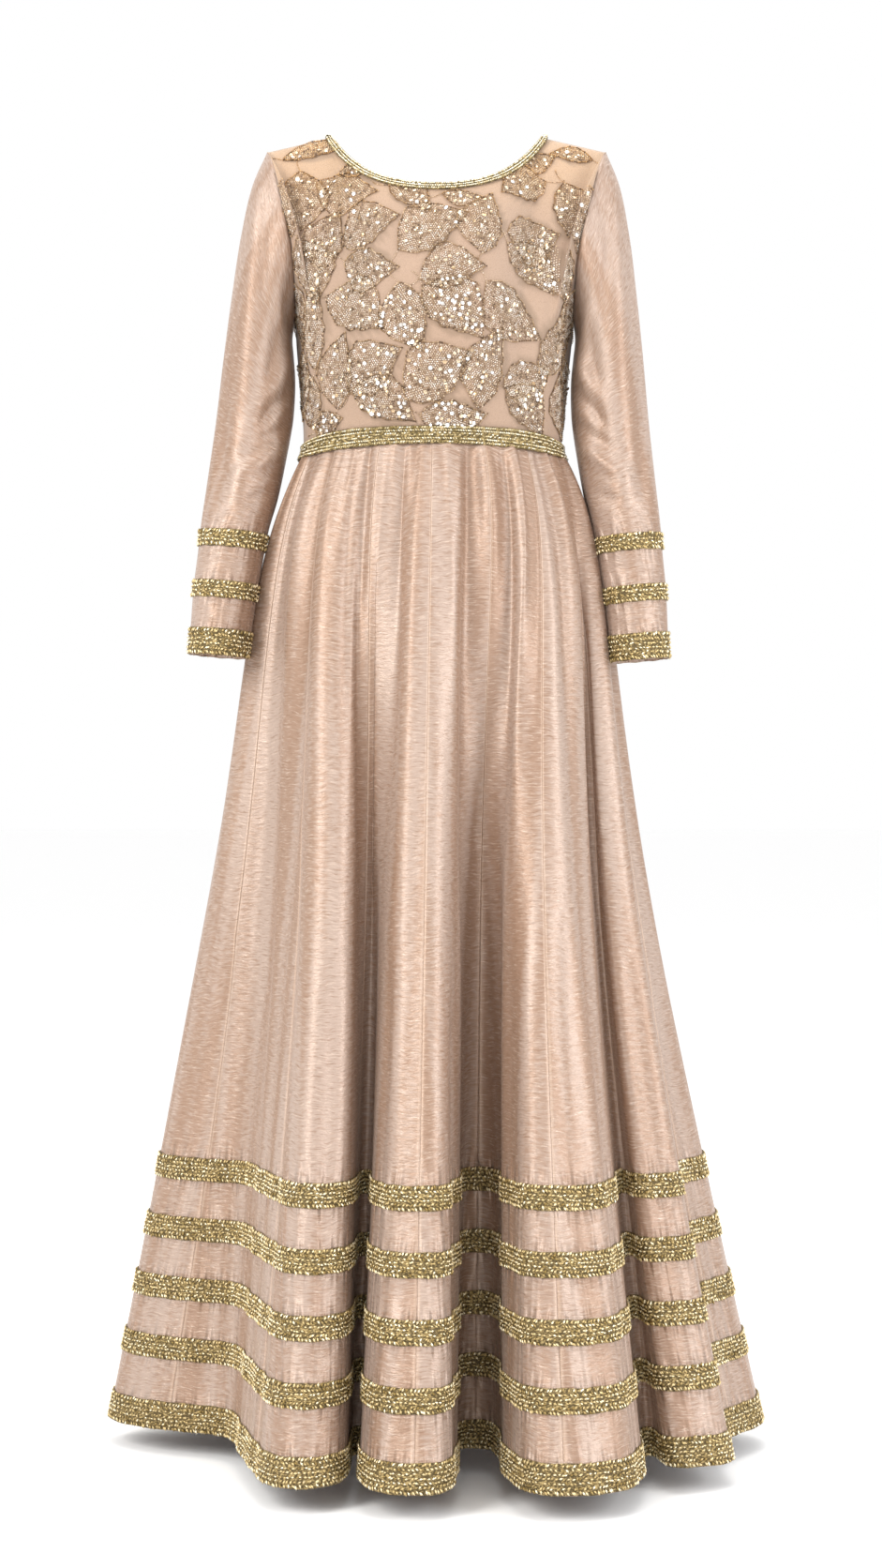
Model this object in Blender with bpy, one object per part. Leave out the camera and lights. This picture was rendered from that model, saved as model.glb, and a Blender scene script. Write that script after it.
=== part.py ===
"""A floor-length anarkali gown: a fitted bodice, two long sleeves and a skirt of sixteen kalis.

The cloth keeps the form it has when worn. Metres, +Z up. The gown faces -Y, so the wearer's
left is +X. The origin lies between the shoulders: at the height where the shoulder seams meet
the neck, and on the seams in depth.
"""

import math
from collections import namedtuple

import bpy
from mathutils import Vector

# Cloth and seams
CLOTH = 0.0013
SEAM_GAP = 0.0003
BRAID = 0.0015
BRAID_GAP = 0.0005

# Heights below the shoulders
WAIST_DROP = 0.334
WAIST_RISE = 0.007
HEM_DROP = 1.3655
SWAY = -0.0045

# Waist outline
WAIST_HALF_WIDTH = 0.1375
WAIST_FRONT = 0.100
WAIST_BACK = 0.095

# Skirt
KALIS = 16
GATHERS = 32
GATHER_DEPTH = 0.0018
GATHER_PEAK = 0.05
SKIRT_ROWS = (0.0, 0.035, 0.10, 0.19, 0.31, 0.46, 0.62)
TIER_BRAIDS = 4
TIER_WIDTH = 0.024
TIER_PITCH = 0.0623
LOWEST_TIER = 0.0725
HEM_BRAID_WIDTH = 0.029
OUTLINE_STEPS = 60
MERGE_COLUMNS = 0.009

# How the skirt spreads from waist to hem on the wearer's right and left: the power of the
# spread, and the fullness over the hip with the height fraction where it peaks
Flare = namedtuple("Flare", "power fullness peak")
RIGHT_FLARE = Flare(power=1.00, fullness=0.0195, peak=0.145)
LEFT_FLARE = Flare(power=1.10, fullness=0.0195, peak=0.125)
FLARE_ONSET = 1.3

# The hem from above, in millimetres and degrees: crests and valleys of the folds in turn,
# the heading of the cloth there, its roundness before and after, and the facets to the next
Bend = namedtuple("Bend", "name x y heading before after facets")
HEM_BENDS = (
    Bend("side crest A", -348, 4, -78, 45, 50, 4),
    Bend("valley A", -222, -80, -25, 45, 40, 5),
    Bend("crest B", -134, -301, -2, 64, 76, 5),
    Bend("valley B", -80, -160, 0, 24, 24, 5),
    Bend("crest C", -17, -326, 0, 98, 72, 5),
    Bend("valley C", 35, -134, 0, 48, 55, 5),
    Bend("crest D", 132, -328, 8, 95, 112, 5),
    Bend("valley D", 212, -165, 10, 27, 28, 5),
    Bend("crest E", 258, -214, 15, 55, 74, 5),
    Bend("valley E", 294, -108, 75, 30, 36, 3),
    Bend("side crest F", 346, 0, 95, 50, 55, 3),
    Bend("valley F", 262, 88, 118, 45, 45, 3),
    Bend("crest G", 268, 205, 130, 70, 75, 4),
    Bend("valley G", 150, 176, 155, 45, 45, 4),
    Bend("crest H", 128, 318, 168, 76, 80, 4),
    Bend("valley H", 62, 168, 175, 45, 45, 4),
    Bend("crest I", -12, 332, 182, 84, 78, 4),
    Bend("valley I", -66, 172, 185, 42, 45, 4),
    Bend("crest J", -140, 312, 196, 78, 80, 4),
    Bend("valley J", -160, 170, 205, 45, 45, 3),
    Bend("crest K", -272, 200, 228, 72, 75, 3),
    Bend("valley K", -264, 92, 240, 45, 45, 3),
)
BEND_CROWDING = 0.4

# Bodice edges
NECK_HALF_WIDTH = 0.112
FRONT_NECK_DROP = 0.0658
FRONT_NECK_DEPTH = 0.080
FRONT_NECK_FLAT = 0.060
BACK_NECK_DROP = 0.050
BACK_NECK_DEPTH = 0.072
BACK_NECK_FLAT = 0.075
NECK_SIDE_LEAN = 0.029
NECK_SIDE_STEEP = 0.045
NECK_SIDE_DEPTH = 0.72
SHOULDER_HALF_WIDTH = 0.181
SHOULDER_DROP = 0.016
ARMPIT_HALF_WIDTH = 0.148
ARMPIT_DROP = 0.190
ARMHOLE_HALF_DEPTH = 0.052
ARMHOLE_HOLLOW = 0.008
NECK_STEPS = 6
SHOULDER_STEPS = 2
ARMHOLE_STEPS = 8
NECK_TURN = 36.0
SHOULDER_TURN = 50.0
BODICE_ROWS = (1.0, 0.945, 0.86, 0.70, 0.52, 0.34, 0.16, 0.0)
FRONT_BUST = 0.10
BACK_BLADE = 0.03
SHOULDER_REACH = 0.16
SHOULDER_SLOPE = 0.7
CENTRE_NECK_RISE = 0.20
CENTRE_NECK_REACH = 0.12
ARMPIT_REACH = 0.14
ARMHOLE_SPREAD = 0.5
ARMHOLE_LEAN = 0.24
BODICE_FULLNESS = 1.05

# Braids of the bodice
NECK_BRAID_WIDTH = 0.009
NECK_BRAID_GAP = 0.0016
WAIST_BRAID_WIDTH = 0.018
WAIST_BRAID_GAP = 0.0015

# Sleeves, in millimetres: the outer and inner point of each ring seen from the front, how far
# it lies forward, and half its depth. The wearer's right arm hangs farther out and a little
# higher.
SLEEVE_COLUMNS = 16
RIGHT_SWING = 0.030
RIGHT_LIFT = 0.008
Ring = namedtuple("Ring", "name outer_drop outer_x inner_drop inner_x forward half_depth")
SLEEVE_RINGS = (
    Ring("cap", 50, 194, 213, 147.5, 0, 56),
    Ring("upper arm", 105, 205, 236, 145.5, 1, 56),
    Ring("biceps", 170, 213, 262, 143.0, 2, 53),
    Ring("above the elbow", 240, 220, 300, 143.5, 4, 49),
    Ring("elbow", 310, 226, 345, 149.5, 8, 45),
    Ring("forearm", 370, 232, 390, 157.0, 16, 41),
    Ring("band 1 top", 424, 237, 430, 166.0, 28, 38),
    Ring("band 1 foot", 442, 238, 448, 168.5, 31, 38),
    Ring("band 2 top", 478, 241, 484, 173.5, 36, 37),
    Ring("band 2 foot", 496, 242, 502, 175.5, 38, 37),
    Ring("cuff top", 529, 243, 534, 179.0, 42, 36),
    Ring("cuff foot", 557, 244, 562, 182.0, 45, 36),
)
SLEEVE_BANDS = (
    ("band_1", "band 1 top", "band 1 foot"),
    ("band_2", "band 2 top", "band 2 foot"),
    ("cuff", "cuff top", "cuff foot"),
)

MM = 0.001


def blend(a, b, share):
    return a + (b - a) * share


def bezier(a, b, c, d, t):
    """A point on the cubic curve through a and d with the handles b and c."""
    s = 1 - t
    return a * s**3 + b * 3 * s * s * t + c * 3 * s * t * t + d * t**3


def hermite(start, leave, end, arrive, t):
    """A point on the curve that leaves start and arrives at end with the given tangents."""
    return (
        start * (2 * t**3 - 3 * t**2 + 1)
        + leave * (t**3 - 2 * t**2 + t)
        + end * (3 * t**2 - 2 * t**3)
        + arrive * (t**3 - t**2)
    )


def swell(fraction, peak):
    """Rises from 0 to 1 at the peak and fades away past it."""
    return fraction / peak * math.exp(1 - fraction / peak)


def clear_scene():
    for item in list(bpy.data.objects):
        bpy.data.objects.remove(item, do_unlink=True)


def finish(name, colour, roughness, metallic):
    """One plain Principled material."""
    material = bpy.data.materials.new(name)
    material.use_nodes = True
    shader = material.node_tree.nodes["Principled BSDF"]
    shader.inputs["Base Color"].default_value = (*colour, 1.0)
    shader.inputs["Roughness"].default_value = roughness
    shader.inputs["Metallic"].default_value = metallic
    return material


def wall(name, outer, inner, closed, material, collection):
    """A closed wall between two grids of points. Rows run down, columns run round from right to left."""
    rows = len(outer)
    columns = len(outer[0])
    spans = columns if closed else columns - 1
    size = rows * columns

    def at(side, row, column):
        return side * size + row * columns + column % columns

    faces = []
    for row in range(rows - 1):
        for column in range(spans):
            for side, turned in ((0, False), (1, True)):
                a = at(side, row, column)
                b = at(side, row, column + 1)
                c = at(side, row + 1, column + 1)
                d = at(side, row + 1, column)
                pair = ((a, d, c), (a, c, b))
                faces += [face[::-1] for face in pair] if turned else pair
    for column in range(spans):
        top = [at(0, 0, column), at(0, 0, column + 1), at(1, 0, column + 1), at(1, 0, column)]
        foot = [at(side, rows - 1, column + step) for side, step in ((0, 0), (1, 0), (1, 1), (0, 1))]
        faces += [top, foot]
    if not closed:
        for row in range(rows - 1):
            for column, turned in ((0, False), (columns - 1, True)):
                edge = [at(0, row, column), at(1, row, column), at(1, row + 1, column), at(0, row + 1, column)]
                faces.append(edge[::-1] if turned else edge)

    mesh = bpy.data.meshes.new(name)
    points = [point for grid in (outer, inner) for line in grid for point in line]
    mesh.from_pydata(points, [], faces)
    mesh.shade_smooth()
    mesh.set_sharp_from_angle(angle=math.radians(50))
    mesh.materials.append(material)
    piece = bpy.data.objects.new(name, mesh)
    collection.objects.link(piece)
    return piece


def pulled(points, towards, distance):
    """Each point moved by the distance towards its partner."""
    return [p + (q - p).normalized() * distance for p, q in zip(points, towards)]


def split_columns(grid, first, last):
    """Columns first to last of a closed grid, with half a seam's gap taken off each side."""
    half_gap = SEAM_GAP / 2
    panel = []
    for line in grid:
        count = len(line)
        part = [line[column % count].copy() for column in range(first, last + 1)]
        part[0] += (part[1] - part[0]).normalized() * half_gap
        part[-1] += (part[-2] - part[-1]).normalized() * half_gap
        panel.append(part)
    return panel


def grid_normals(grid):
    """Outward normals of a closed grid whose rows run down."""
    rows = len(grid)
    columns = len(grid[0])
    normals = []
    for row in range(rows):
        above = grid[max(row - 1, 0)]
        below = grid[min(row + 1, rows - 1)]
        line = []
        for column in range(columns):
            across = grid[row][(column + 1) % columns] - grid[row][column - 1]
            up = above[column] - below[column]
            line.append(across.cross(up).normalized())
        normals.append(line)
    return normals


def kept_from(normal, way):
    """The normal without its part along the way."""
    return (normal - way * normal.dot(way)).normalized()


def kept_back(normal, way):
    """The normal, without what would carry the inner wall along the way, over a seam."""
    return kept_from(normal, way) if normal.dot(way) < 0 else normal


def moved_out(grid, normals, distance):
    return [[p + n * distance for p, n in zip(line, ways)] for line, ways in zip(grid, normals)]


def sway(z):
    """The body leans a little to the wearer's right at the waist."""
    return SWAY * min(-z / WAIST_DROP, 1.0)


def waist_point(turn):
    """A point of the waist seam. The turn is 0 at the centre front and grows towards the wearer's left."""
    depth = WAIST_FRONT if math.cos(turn) > 0 else WAIST_BACK
    rise = WAIST_RISE * max(math.cos(turn), 0.0) ** 2
    return Vector((
        SWAY + WAIST_HALF_WIDTH * math.sin(turn),
        -depth * math.cos(turn),
        rise - WAIST_DROP,
    ))


class HemLine:
    """The hem seen from above, measured along the cloth."""

    def __init__(self):
        self.lengths = [0.0]
        self.points = []
        self.bend_lengths = []
        for bend, following in zip(HEM_BENDS, HEM_BENDS[1:] + HEM_BENDS[:1]):
            self.bend_lengths.append(self.lengths[-1])
            for step in range(OUTLINE_STEPS):
                self.add(self.between(bend, following, step / OUTLINE_STEPS))
        self.add(self.points[0])
        self.lengths.pop()
        self.total = self.lengths[-1]
        self.centre_front = self.bend_lengths[[bend.name for bend in HEM_BENDS].index("crest C")]

    def add(self, point):
        if self.points:
            self.lengths[-1] += (point - self.points[-1]).length
        self.points.append(point)
        self.lengths.append(self.lengths[-1])

    def between(self, bend, following, t):
        def handle(knot, reach):
            way = math.radians(knot.heading)
            return Vector((knot.x + reach * math.cos(way), knot.y + reach * math.sin(way))) * MM

        start = Vector((bend.x, bend.y)) * MM
        end = Vector((following.x, following.y)) * MM
        return bezier(start, handle(bend, bend.after), handle(following, -following.before), end, t)

    def at(self, length):
        """The point this far along the hem."""
        length %= self.total
        low = 0
        high = len(self.lengths) - 1
        while high - low > 1:
            middle = (low + high) // 2
            if self.lengths[middle] > length:
                high = middle
            else:
                low = middle
        share = (length - self.lengths[low]) / (self.lengths[high] - self.lengths[low])
        return self.points[low].lerp(self.points[high], share)

    def columns(self):
        """Lengths along the hem where the cloth is divided, closer at the bends, with a flag on seams."""
        seams = [(self.centre_front + self.total * k / KALIS) % self.total for k in range(KALIS)]
        found = [(length, True) for length in seams]
        for number, bend in enumerate(HEM_BENDS):
            for facet in range(bend.facets):
                t = facet / bend.facets
                t -= BEND_CROWDING * math.sin(math.tau * t) / math.tau
                step = (number + t) * OUTLINE_STEPS
                length = blend(self.lengths[int(step)], self.lengths[int(step) + 1], step % 1)
                if min(abs(length - seam) for seam in seams) > MERGE_COLUMNS:
                    found.append((length, False))
        return sorted(found)


def skirt_point(hem, length, drop):
    """A point of the skirt: how far along the hem, and the share of the way down to it."""
    turn = math.tau * (length - hem.centre_front) / hem.total
    top = waist_point(turn)
    foot = hem.at(length)
    left_share = (1 + math.sin(turn)) / 2
    flare = Flare(*(blend(r, l, left_share) for r, l in zip(RIGHT_FLARE, LEFT_FLARE)))
    spread = drop**flare.power
    out = flare.fullness * swell(drop, flare.peak) ** FLARE_ONSET
    out += GATHER_DEPTH * swell(drop, GATHER_PEAK) * math.cos(GATHERS * turn)
    return Vector((
        blend(top.x, foot.x, spread) + out * math.sin(turn),
        blend(top.y, foot.y, spread) - out * math.cos(turn),
        blend(top.z, -HEM_DROP, drop),
    ))


def offset_ring(ring, distance):
    """A closed row of points moved outwards in plan, with mitred corners."""
    moved = []
    for before, point, after in zip(ring[-1:] + ring[:-1], ring, ring[1:] + ring[:1]):
        arriving = (point - before).xy.normalized()
        leaving = (after - point).xy.normalized()
        first = Vector((arriving.y, -arriving.x))
        second = Vector((leaving.y, -leaving.x))
        mitre = (first + second) / (1 + first.dot(second))
        moved.append(point + Vector((mitre.x, mitre.y, 0.0)) * distance)
    return moved


def band_heights():
    """Foot and top of each braid of the skirt above the hem, from the lowest."""
    bands = [("hem_trim", 0.0, HEM_BRAID_WIDTH)]
    for tier in range(TIER_BRAIDS):
        foot = LOWEST_TIER + tier * TIER_PITCH
        bands.append((f"tier_trim_{TIER_BRAIDS - tier}", foot, foot + TIER_WIDTH))
    return bands


def make_skirt(hem, silk, braid, collection):
    columns = hem.columns()
    seams = [number for number, (_, is_seam) in enumerate(columns) if is_seam]
    seams.append(seams[0] + len(columns))
    height = HEM_DROP - WAIST_DROP
    edges = sorted({1 - edge / height for _, foot, top in band_heights() for edge in (foot, top)})
    drops = list(SKIRT_ROWS) + edges
    rings = [[skirt_point(hem, length, drop) for length, _ in columns] for drop in drops]
    for point in rings[0]:
        point.z -= SEAM_GAP / 2

    inner = [offset_ring(ring, -CLOTH) for ring in rings]
    front = seams.index(min(seams, key=lambda n: abs(columns[n % len(columns)][0] - hem.centre_front)))
    for kali in range(KALIS):
        number = (front + kali) % KALIS
        first = seams[number]
        last = seams[number + 1]
        wall(
            f"kali_{kali + 1:02d}",
            split_columns(rings, first, last),
            split_columns(inner, first, last),
            False, silk, collection,
        )

    for name, foot, top in band_heights():
        rows = [row for row, drop in enumerate(drops) if 1 - top / height - 1e-6 < drop < 1 - foot / height + 1e-6]
        under = [offset_ring(rings[row], BRAID_GAP) for row in rows]
        over = [offset_ring(rings[row], BRAID_GAP + BRAID) for row in rows]
        wall(name, over, under, True, braid, collection)


def neck_curve(drop, depth, flat, facing, t):
    """The neckline from its centre to the shoulder seam."""
    return bezier(
        Vector((0.0, facing * depth, -drop)),
        Vector((flat, facing * depth, -drop)),
        Vector((NECK_HALF_WIDTH - NECK_SIDE_LEAN, facing * depth * NECK_SIDE_DEPTH, -NECK_SIDE_STEEP)),
        Vector((NECK_HALF_WIDTH, 0.0, 0.0)),
        t,
    )


def armhole_point(angle, facing):
    """A point of the armhole: angle 0 at the shoulder, pi under the arm."""
    upper = Vector((SHOULDER_HALF_WIDTH, 0.0, -SHOULDER_DROP))
    lower = Vector((ARMPIT_HALF_WIDTH, 0.0, -ARMPIT_DROP))
    centre = (upper + lower) / 2
    along = (upper - lower) / 2
    bow = Vector((-ARMHOLE_HOLLOW, facing * ARMHOLE_HALF_DEPTH, 0.0))
    return centre + along * math.cos(angle) + bow * math.sin(angle)


def armhole_way(side, facing):
    """The direction from the bodice into the sleeve, square to that half of the armhole."""
    along = armhole_point(0.0, facing) - armhole_point(math.pi, facing)
    bow = Vector((-ARMHOLE_HOLLOW, facing * ARMHOLE_HALF_DEPTH, 0.0))
    way = bow.cross(along) * facing
    return Vector((side * way.x, way.y, way.z)).normalized()


def bodice_column(step, facing):
    """One line of cloth from the waist to an edge, from the centre (step 0) to the side seam.

    It gives the waist point, its tangent, the edge point, its tangent and the kind of edge.
    Facing is -1 on the front and 1 on the back.
    """
    lean = FRONT_BUST if facing < 0 else BACK_BLADE
    neck_end = NECK_STEPS
    shoulder_end = NECK_STEPS + SHOULDER_STEPS
    if step <= neck_end:
        share = step / NECK_STEPS
        turn = NECK_TURN * share
        if facing < 0:
            edge = neck_curve(FRONT_NECK_DROP, FRONT_NECK_DEPTH, FRONT_NECK_FLAT, facing, share)
        else:
            edge = neck_curve(BACK_NECK_DROP, BACK_NECK_DEPTH, BACK_NECK_FLAT, facing, share)
        rise = blend(SHOULDER_REACH * SHOULDER_SLOPE, CENTRE_NECK_RISE, math.sqrt(1 - share))
        arrive = Vector((0.0, -facing * blend(CENTRE_NECK_REACH, SHOULDER_REACH, share), rise))
    elif step <= shoulder_end:
        share = (step - neck_end) / SHOULDER_STEPS
        turn = blend(NECK_TURN, SHOULDER_TURN, share)
        neck_point = Vector((NECK_HALF_WIDTH, 0.0, 0.0))
        edge = neck_point.lerp(armhole_point(0.0, facing), share)
        arrive = Vector((ARMHOLE_LEAN * share, -facing, SHOULDER_SLOPE)) * SHOULDER_REACH
    else:
        share = (step - shoulder_end) / ARMHOLE_STEPS
        turn = blend(SHOULDER_TURN, 90.0, share)
        angle = math.pi * share
        edge = armhole_point(angle, facing)
        over = math.cos(angle / 2) ** 2
        reach = blend(SHOULDER_REACH, ARMPIT_REACH, share)
        arrive = Vector((
            ARMHOLE_SPREAD * math.sin(angle) + ARMHOLE_LEAN * over,
            -facing * over,
            math.sin(angle / 2) ** 3 + SHOULDER_SLOPE * over,
        )) * reach
    turn = math.radians(turn)
    waist = waist_point(turn if facing < 0 else math.pi - turn)
    waist.x -= SWAY
    length = (edge - waist).length
    front_share = math.cos(turn)
    leave = Vector((0.0, facing * lean * front_share, length * BODICE_FULLNESS))
    return waist, leave, edge, arrive


def bodice_grid():
    """Rows from the top edge to the waist of the whole bodice, as one closed grid of columns."""
    last = NECK_STEPS + SHOULDER_STEPS + ARMHOLE_STEPS
    order = [(-1, -1, step) for step in range(last, 0, -1)]
    order += [(-1, 1, step) for step in range(0, last)]
    order += [(1, 1, step) for step in range(last, 0, -1)]
    order += [(1, -1, step) for step in range(0, last)]
    grid = []
    for t in BODICE_ROWS:
        line = []
        for facing, side, step in order:
            waist, leave, edge, arrive = bodice_column(step, facing)
            point = hermite(waist, leave, edge, arrive, t)
            point.x *= side
            point.x += sway(point.z)
            line.append(point)
        grid.append(line)
    return grid, order


def make_bodice(hem, net, braid, collection):
    grid, order = bodice_grid()
    normals = grid_normals(grid)
    for number, (facing, side, step) in enumerate(order):
        if NECK_STEPS <= step <= NECK_STEPS + SHOULDER_STEPS:
            normals[0][number] = kept_from(normals[0][number], Vector((0.0, 1.0, 0.0)))
        if step >= NECK_STEPS + SHOULDER_STEPS:
            normals[0][number] = kept_back(normals[0][number], armhole_way(side, facing))
    outer = [list(line) for line in grid]
    outer[0] = pulled(grid[0], grid[1], SEAM_GAP / 2)
    outer[-1] = pulled(grid[-1], grid[-2], SEAM_GAP / 2)
    inner = moved_out(outer, normals, -CLOTH)
    half = len(order) // 2
    wall("bodice_front", split_columns(outer, 0, half), split_columns(inner, 0, half), False, net, collection)
    wall("bodice_back", split_columns(outer, half, 2 * half), split_columns(inner, half, 2 * half),
         False, net, collection)
    make_neck_braid(grid, normals, order, braid, collection)
    make_waist_braid(grid, normals, hem, braid, collection)


def make_neck_braid(grid, normals, order, braid, collection):
    """Lies on the bodice all along the neckline, from its edge down."""
    on_neck = [number for number, (_, _, step) in enumerate(order) if step <= NECK_STEPS]
    ring = []
    ways = []
    for number in on_neck:
        facing, side, step = order[number]
        repeated = step == NECK_STEPS and facing > 0
        if not repeated:
            ring.append(grid[0][number])
            ways.append(normals[0][number])
    count = len(ring)
    down = []
    for number in range(count):
        along = ring[(number + 1) % count] - ring[number - 1]
        down.append(ring[number] - ways[number].cross(along).normalized() * NECK_BRAID_WIDTH)
    rows = [ring, down]
    out = [ways, ways]
    wall("neck_trim", moved_out(rows, out, NECK_BRAID_GAP + BRAID), moved_out(rows, out, NECK_BRAID_GAP),
         True, braid, collection)


def make_waist_braid(grid, normals, hem, braid, collection):
    """Covers the seam between the bodice and the skirt, half of it on each."""
    half_width = WAIST_BRAID_WIDTH / 2
    top = pulled(grid[-1], grid[-2], half_width)
    foot = []
    for point in grid[-1]:
        depth = WAIST_FRONT if point.y < 0 else WAIST_BACK
        turn = math.atan2((point.x - SWAY) / WAIST_HALF_WIDTH, -point.y / depth)
        length = hem.centre_front + hem.total * turn / math.tau
        seam = skirt_point(hem, length, 0.0)
        below = skirt_point(hem, length, SKIRT_ROWS[1])
        foot.append(seam + (below - seam).normalized() * half_width)
    rows = [top, foot]
    level = [Vector((way.x, way.y, 0.0)).normalized() for way in normals[-1]]
    out = [level, level]
    wall("waist_trim", moved_out(rows, out, WAIST_BRAID_GAP + BRAID), moved_out(rows, out, WAIST_BRAID_GAP),
         True, braid, collection)


def sleeve_grid(side):
    """Rings of a sleeve from the armhole to the cuff, on the wearer's left (side 1) or right (side -1)."""
    rings = []
    angles = [math.tau * column / SLEEVE_COLUMNS for column in range(SLEEVE_COLUMNS)]
    armhole = []
    for angle in angles:
        facing = side if angle < math.pi else -side
        point = armhole_point(min(angle, math.tau - angle), facing)
        point.x = point.x * side + sway(point.z) + side * SEAM_GAP / 2
        armhole.append(point)
    rings.append(armhole)
    swing = 0.0 if side > 0 else RIGHT_SWING
    lift = 0.0 if side > 0 else RIGHT_LIFT
    for row in SLEEVE_RINGS:
        outer_drop = row.outer_drop * (1 - lift)
        inner_drop = row.inner_drop * (1 - lift)
        outer = Vector((side * (row.outer_x + swing * outer_drop), -row.forward, -outer_drop)) * MM
        inner = Vector((side * (row.inner_x + swing * inner_drop), -row.forward, -inner_drop)) * MM
        centre = (outer + inner) / 2
        across = (outer - inner) / 2
        ring = []
        for angle in angles:
            forward = Vector((0.0, side * row.half_depth * MM * math.sin(angle), 0.0))
            ring.append(centre + across * math.cos(angle) + forward)
        rings.append(ring)
    return rings


def make_sleeve(name, side, silk, braid, collection):
    grid = sleeve_grid(side)
    normals = grid_normals(grid)
    for column in range(SLEEVE_COLUMNS):
        facing = side if column < SLEEVE_COLUMNS / 2 else -side
        normals[0][column] = kept_back(normals[0][column], -armhole_way(side, facing))
    wall(name, grid, moved_out(grid, normals, -CLOTH), True, silk, collection)
    names = ["armhole"] + [row.name for row in SLEEVE_RINGS]
    for band, top, foot in SLEEVE_BANDS:
        rows = slice(names.index(top), names.index(foot) + 1)
        part = grid[rows]
        ways = normals[rows]
        wall(f"{name}_{band}", moved_out(part, ways, BRAID_GAP + BRAID), moved_out(part, ways, BRAID_GAP),
             True, braid, collection)


def main():
    clear_scene()
    collection = bpy.data.collections.new("anarkali_gown")
    bpy.context.scene.collection.children.link(collection)
    silk = finish("rose dupion silk", (0.62, 0.40, 0.29), 0.42, 0.0)
    net = finish("taupe net over nude cloth", (0.55, 0.38, 0.28), 0.70, 0.0)
    braid = finish("olive gold braid", (0.33, 0.27, 0.11), 0.45, 0.6)
    hem = HemLine()
    make_bodice(hem, net, braid, collection)
    make_skirt(hem, silk, braid, collection)
    make_sleeve("sleeve_left", 1, silk, braid, collection)
    make_sleeve("sleeve_right", -1, silk, braid, collection)


main()
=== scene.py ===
"""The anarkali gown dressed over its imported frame: dupion silk, beaded net and plaited braid.

The sections follow the gown as it is put together: the studio, the sixteen kalis of the skirt,
their braids, the two bodice panels, the beadwork, the waist and neck braids, and the sleeves
with theirs. Metres, +Z up, and the wearer's left is +X.
"""

import math
import random
from collections import namedtuple
from functools import partial

import bpy
import numpy as np
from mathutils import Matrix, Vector, noise
from mathutils.bvhtree import BVHTree


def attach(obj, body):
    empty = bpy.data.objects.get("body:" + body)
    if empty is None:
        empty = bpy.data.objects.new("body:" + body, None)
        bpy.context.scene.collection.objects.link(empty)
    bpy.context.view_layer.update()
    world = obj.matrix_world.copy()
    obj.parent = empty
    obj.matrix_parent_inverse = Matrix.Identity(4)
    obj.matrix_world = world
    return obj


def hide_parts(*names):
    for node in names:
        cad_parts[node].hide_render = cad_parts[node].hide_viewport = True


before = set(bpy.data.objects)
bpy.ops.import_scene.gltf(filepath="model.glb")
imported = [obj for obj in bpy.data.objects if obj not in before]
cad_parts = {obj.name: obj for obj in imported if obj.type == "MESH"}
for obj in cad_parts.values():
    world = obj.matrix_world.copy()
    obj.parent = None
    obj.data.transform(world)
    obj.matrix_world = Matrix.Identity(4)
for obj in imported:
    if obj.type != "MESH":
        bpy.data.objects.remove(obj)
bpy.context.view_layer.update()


# ---- The studio
# A plain pale floor, soft light from large sources, and the camera straight in front of the
# gown at half its height.
FLOOR_DROP = 1.392


def softbox(name, place, aim, width, height, power, colour):
    """A large soft light that faces the point it is aimed at."""
    lamp = bpy.data.lights.new(name, "AREA")
    lamp.shape = "RECTANGLE"
    lamp.size = width
    lamp.size_y = height
    lamp.energy = power
    lamp.color = colour
    box = bpy.data.objects.new(name, lamp)
    box.location = place
    box.rotation_euler = (Vector(aim) - Vector(place)).to_track_quat("-Z", "Y").to_euler()
    bpy.context.collection.objects.link(box)


softbox("key light", (-2.0, -2.2, 0.9), (0, 0, -0.6), 1.2, 2.0, 88, (1.0, 0.985, 0.96))
softbox("fill light", (2.6, -1.6, 0.0), (0, 0, -0.7), 1.0, 2.0, 56, (0.98, 0.985, 1.0))
softbox("top light", (0.2, -0.2, 2.2), (0, 0, -0.6), 2.2, 1.6, 36, (1.0, 1.0, 1.0))

surround = bpy.data.worlds.new("white studio")
surround.use_nodes = True
glow = surround.node_tree.nodes["Background"]
glow.inputs["Color"].default_value = (1.0, 1.0, 1.0, 1.0)
glow.inputs["Strength"].default_value = 1.0
bpy.context.scene.world = surround
bpy.context.scene.view_settings.view_transform = "Standard"

lens = bpy.data.cameras.new("front view")
lens.lens = 64.6
lens.sensor_width = 36.0
camera = bpy.data.objects.new("front view", lens)
camera.location = (0.0045, -3.0, -0.689)
camera.rotation_euler = (math.radians(90), 0, 0)
bpy.context.collection.objects.link(camera)
bpy.context.scene.camera = camera

floor_mesh = bpy.data.meshes.new("studio_floor")
FLOOR_CORNERS = [(x, y, -FLOOR_DROP) for x, y in ((-12, -6), (12, -6), (12, 40), (-12, 40))]
floor_mesh.from_pydata(FLOOR_CORNERS, [], [(0, 1, 2, 3)])
floor = bpy.data.objects.new("studio_floor", floor_mesh)
bpy.context.collection.objects.link(floor)
floor_paint = bpy.data.materials.new("pale floor")
floor_paint.use_nodes = True
floor_shader = floor_paint.node_tree.nodes["Principled BSDF"]
floor_shader.inputs["Base Color"].default_value = (0.99, 0.99, 0.99, 1.0)
floor_shader.inputs["Roughness"].default_value = 0.9
floor_mesh.materials.append(floor_paint)


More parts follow.
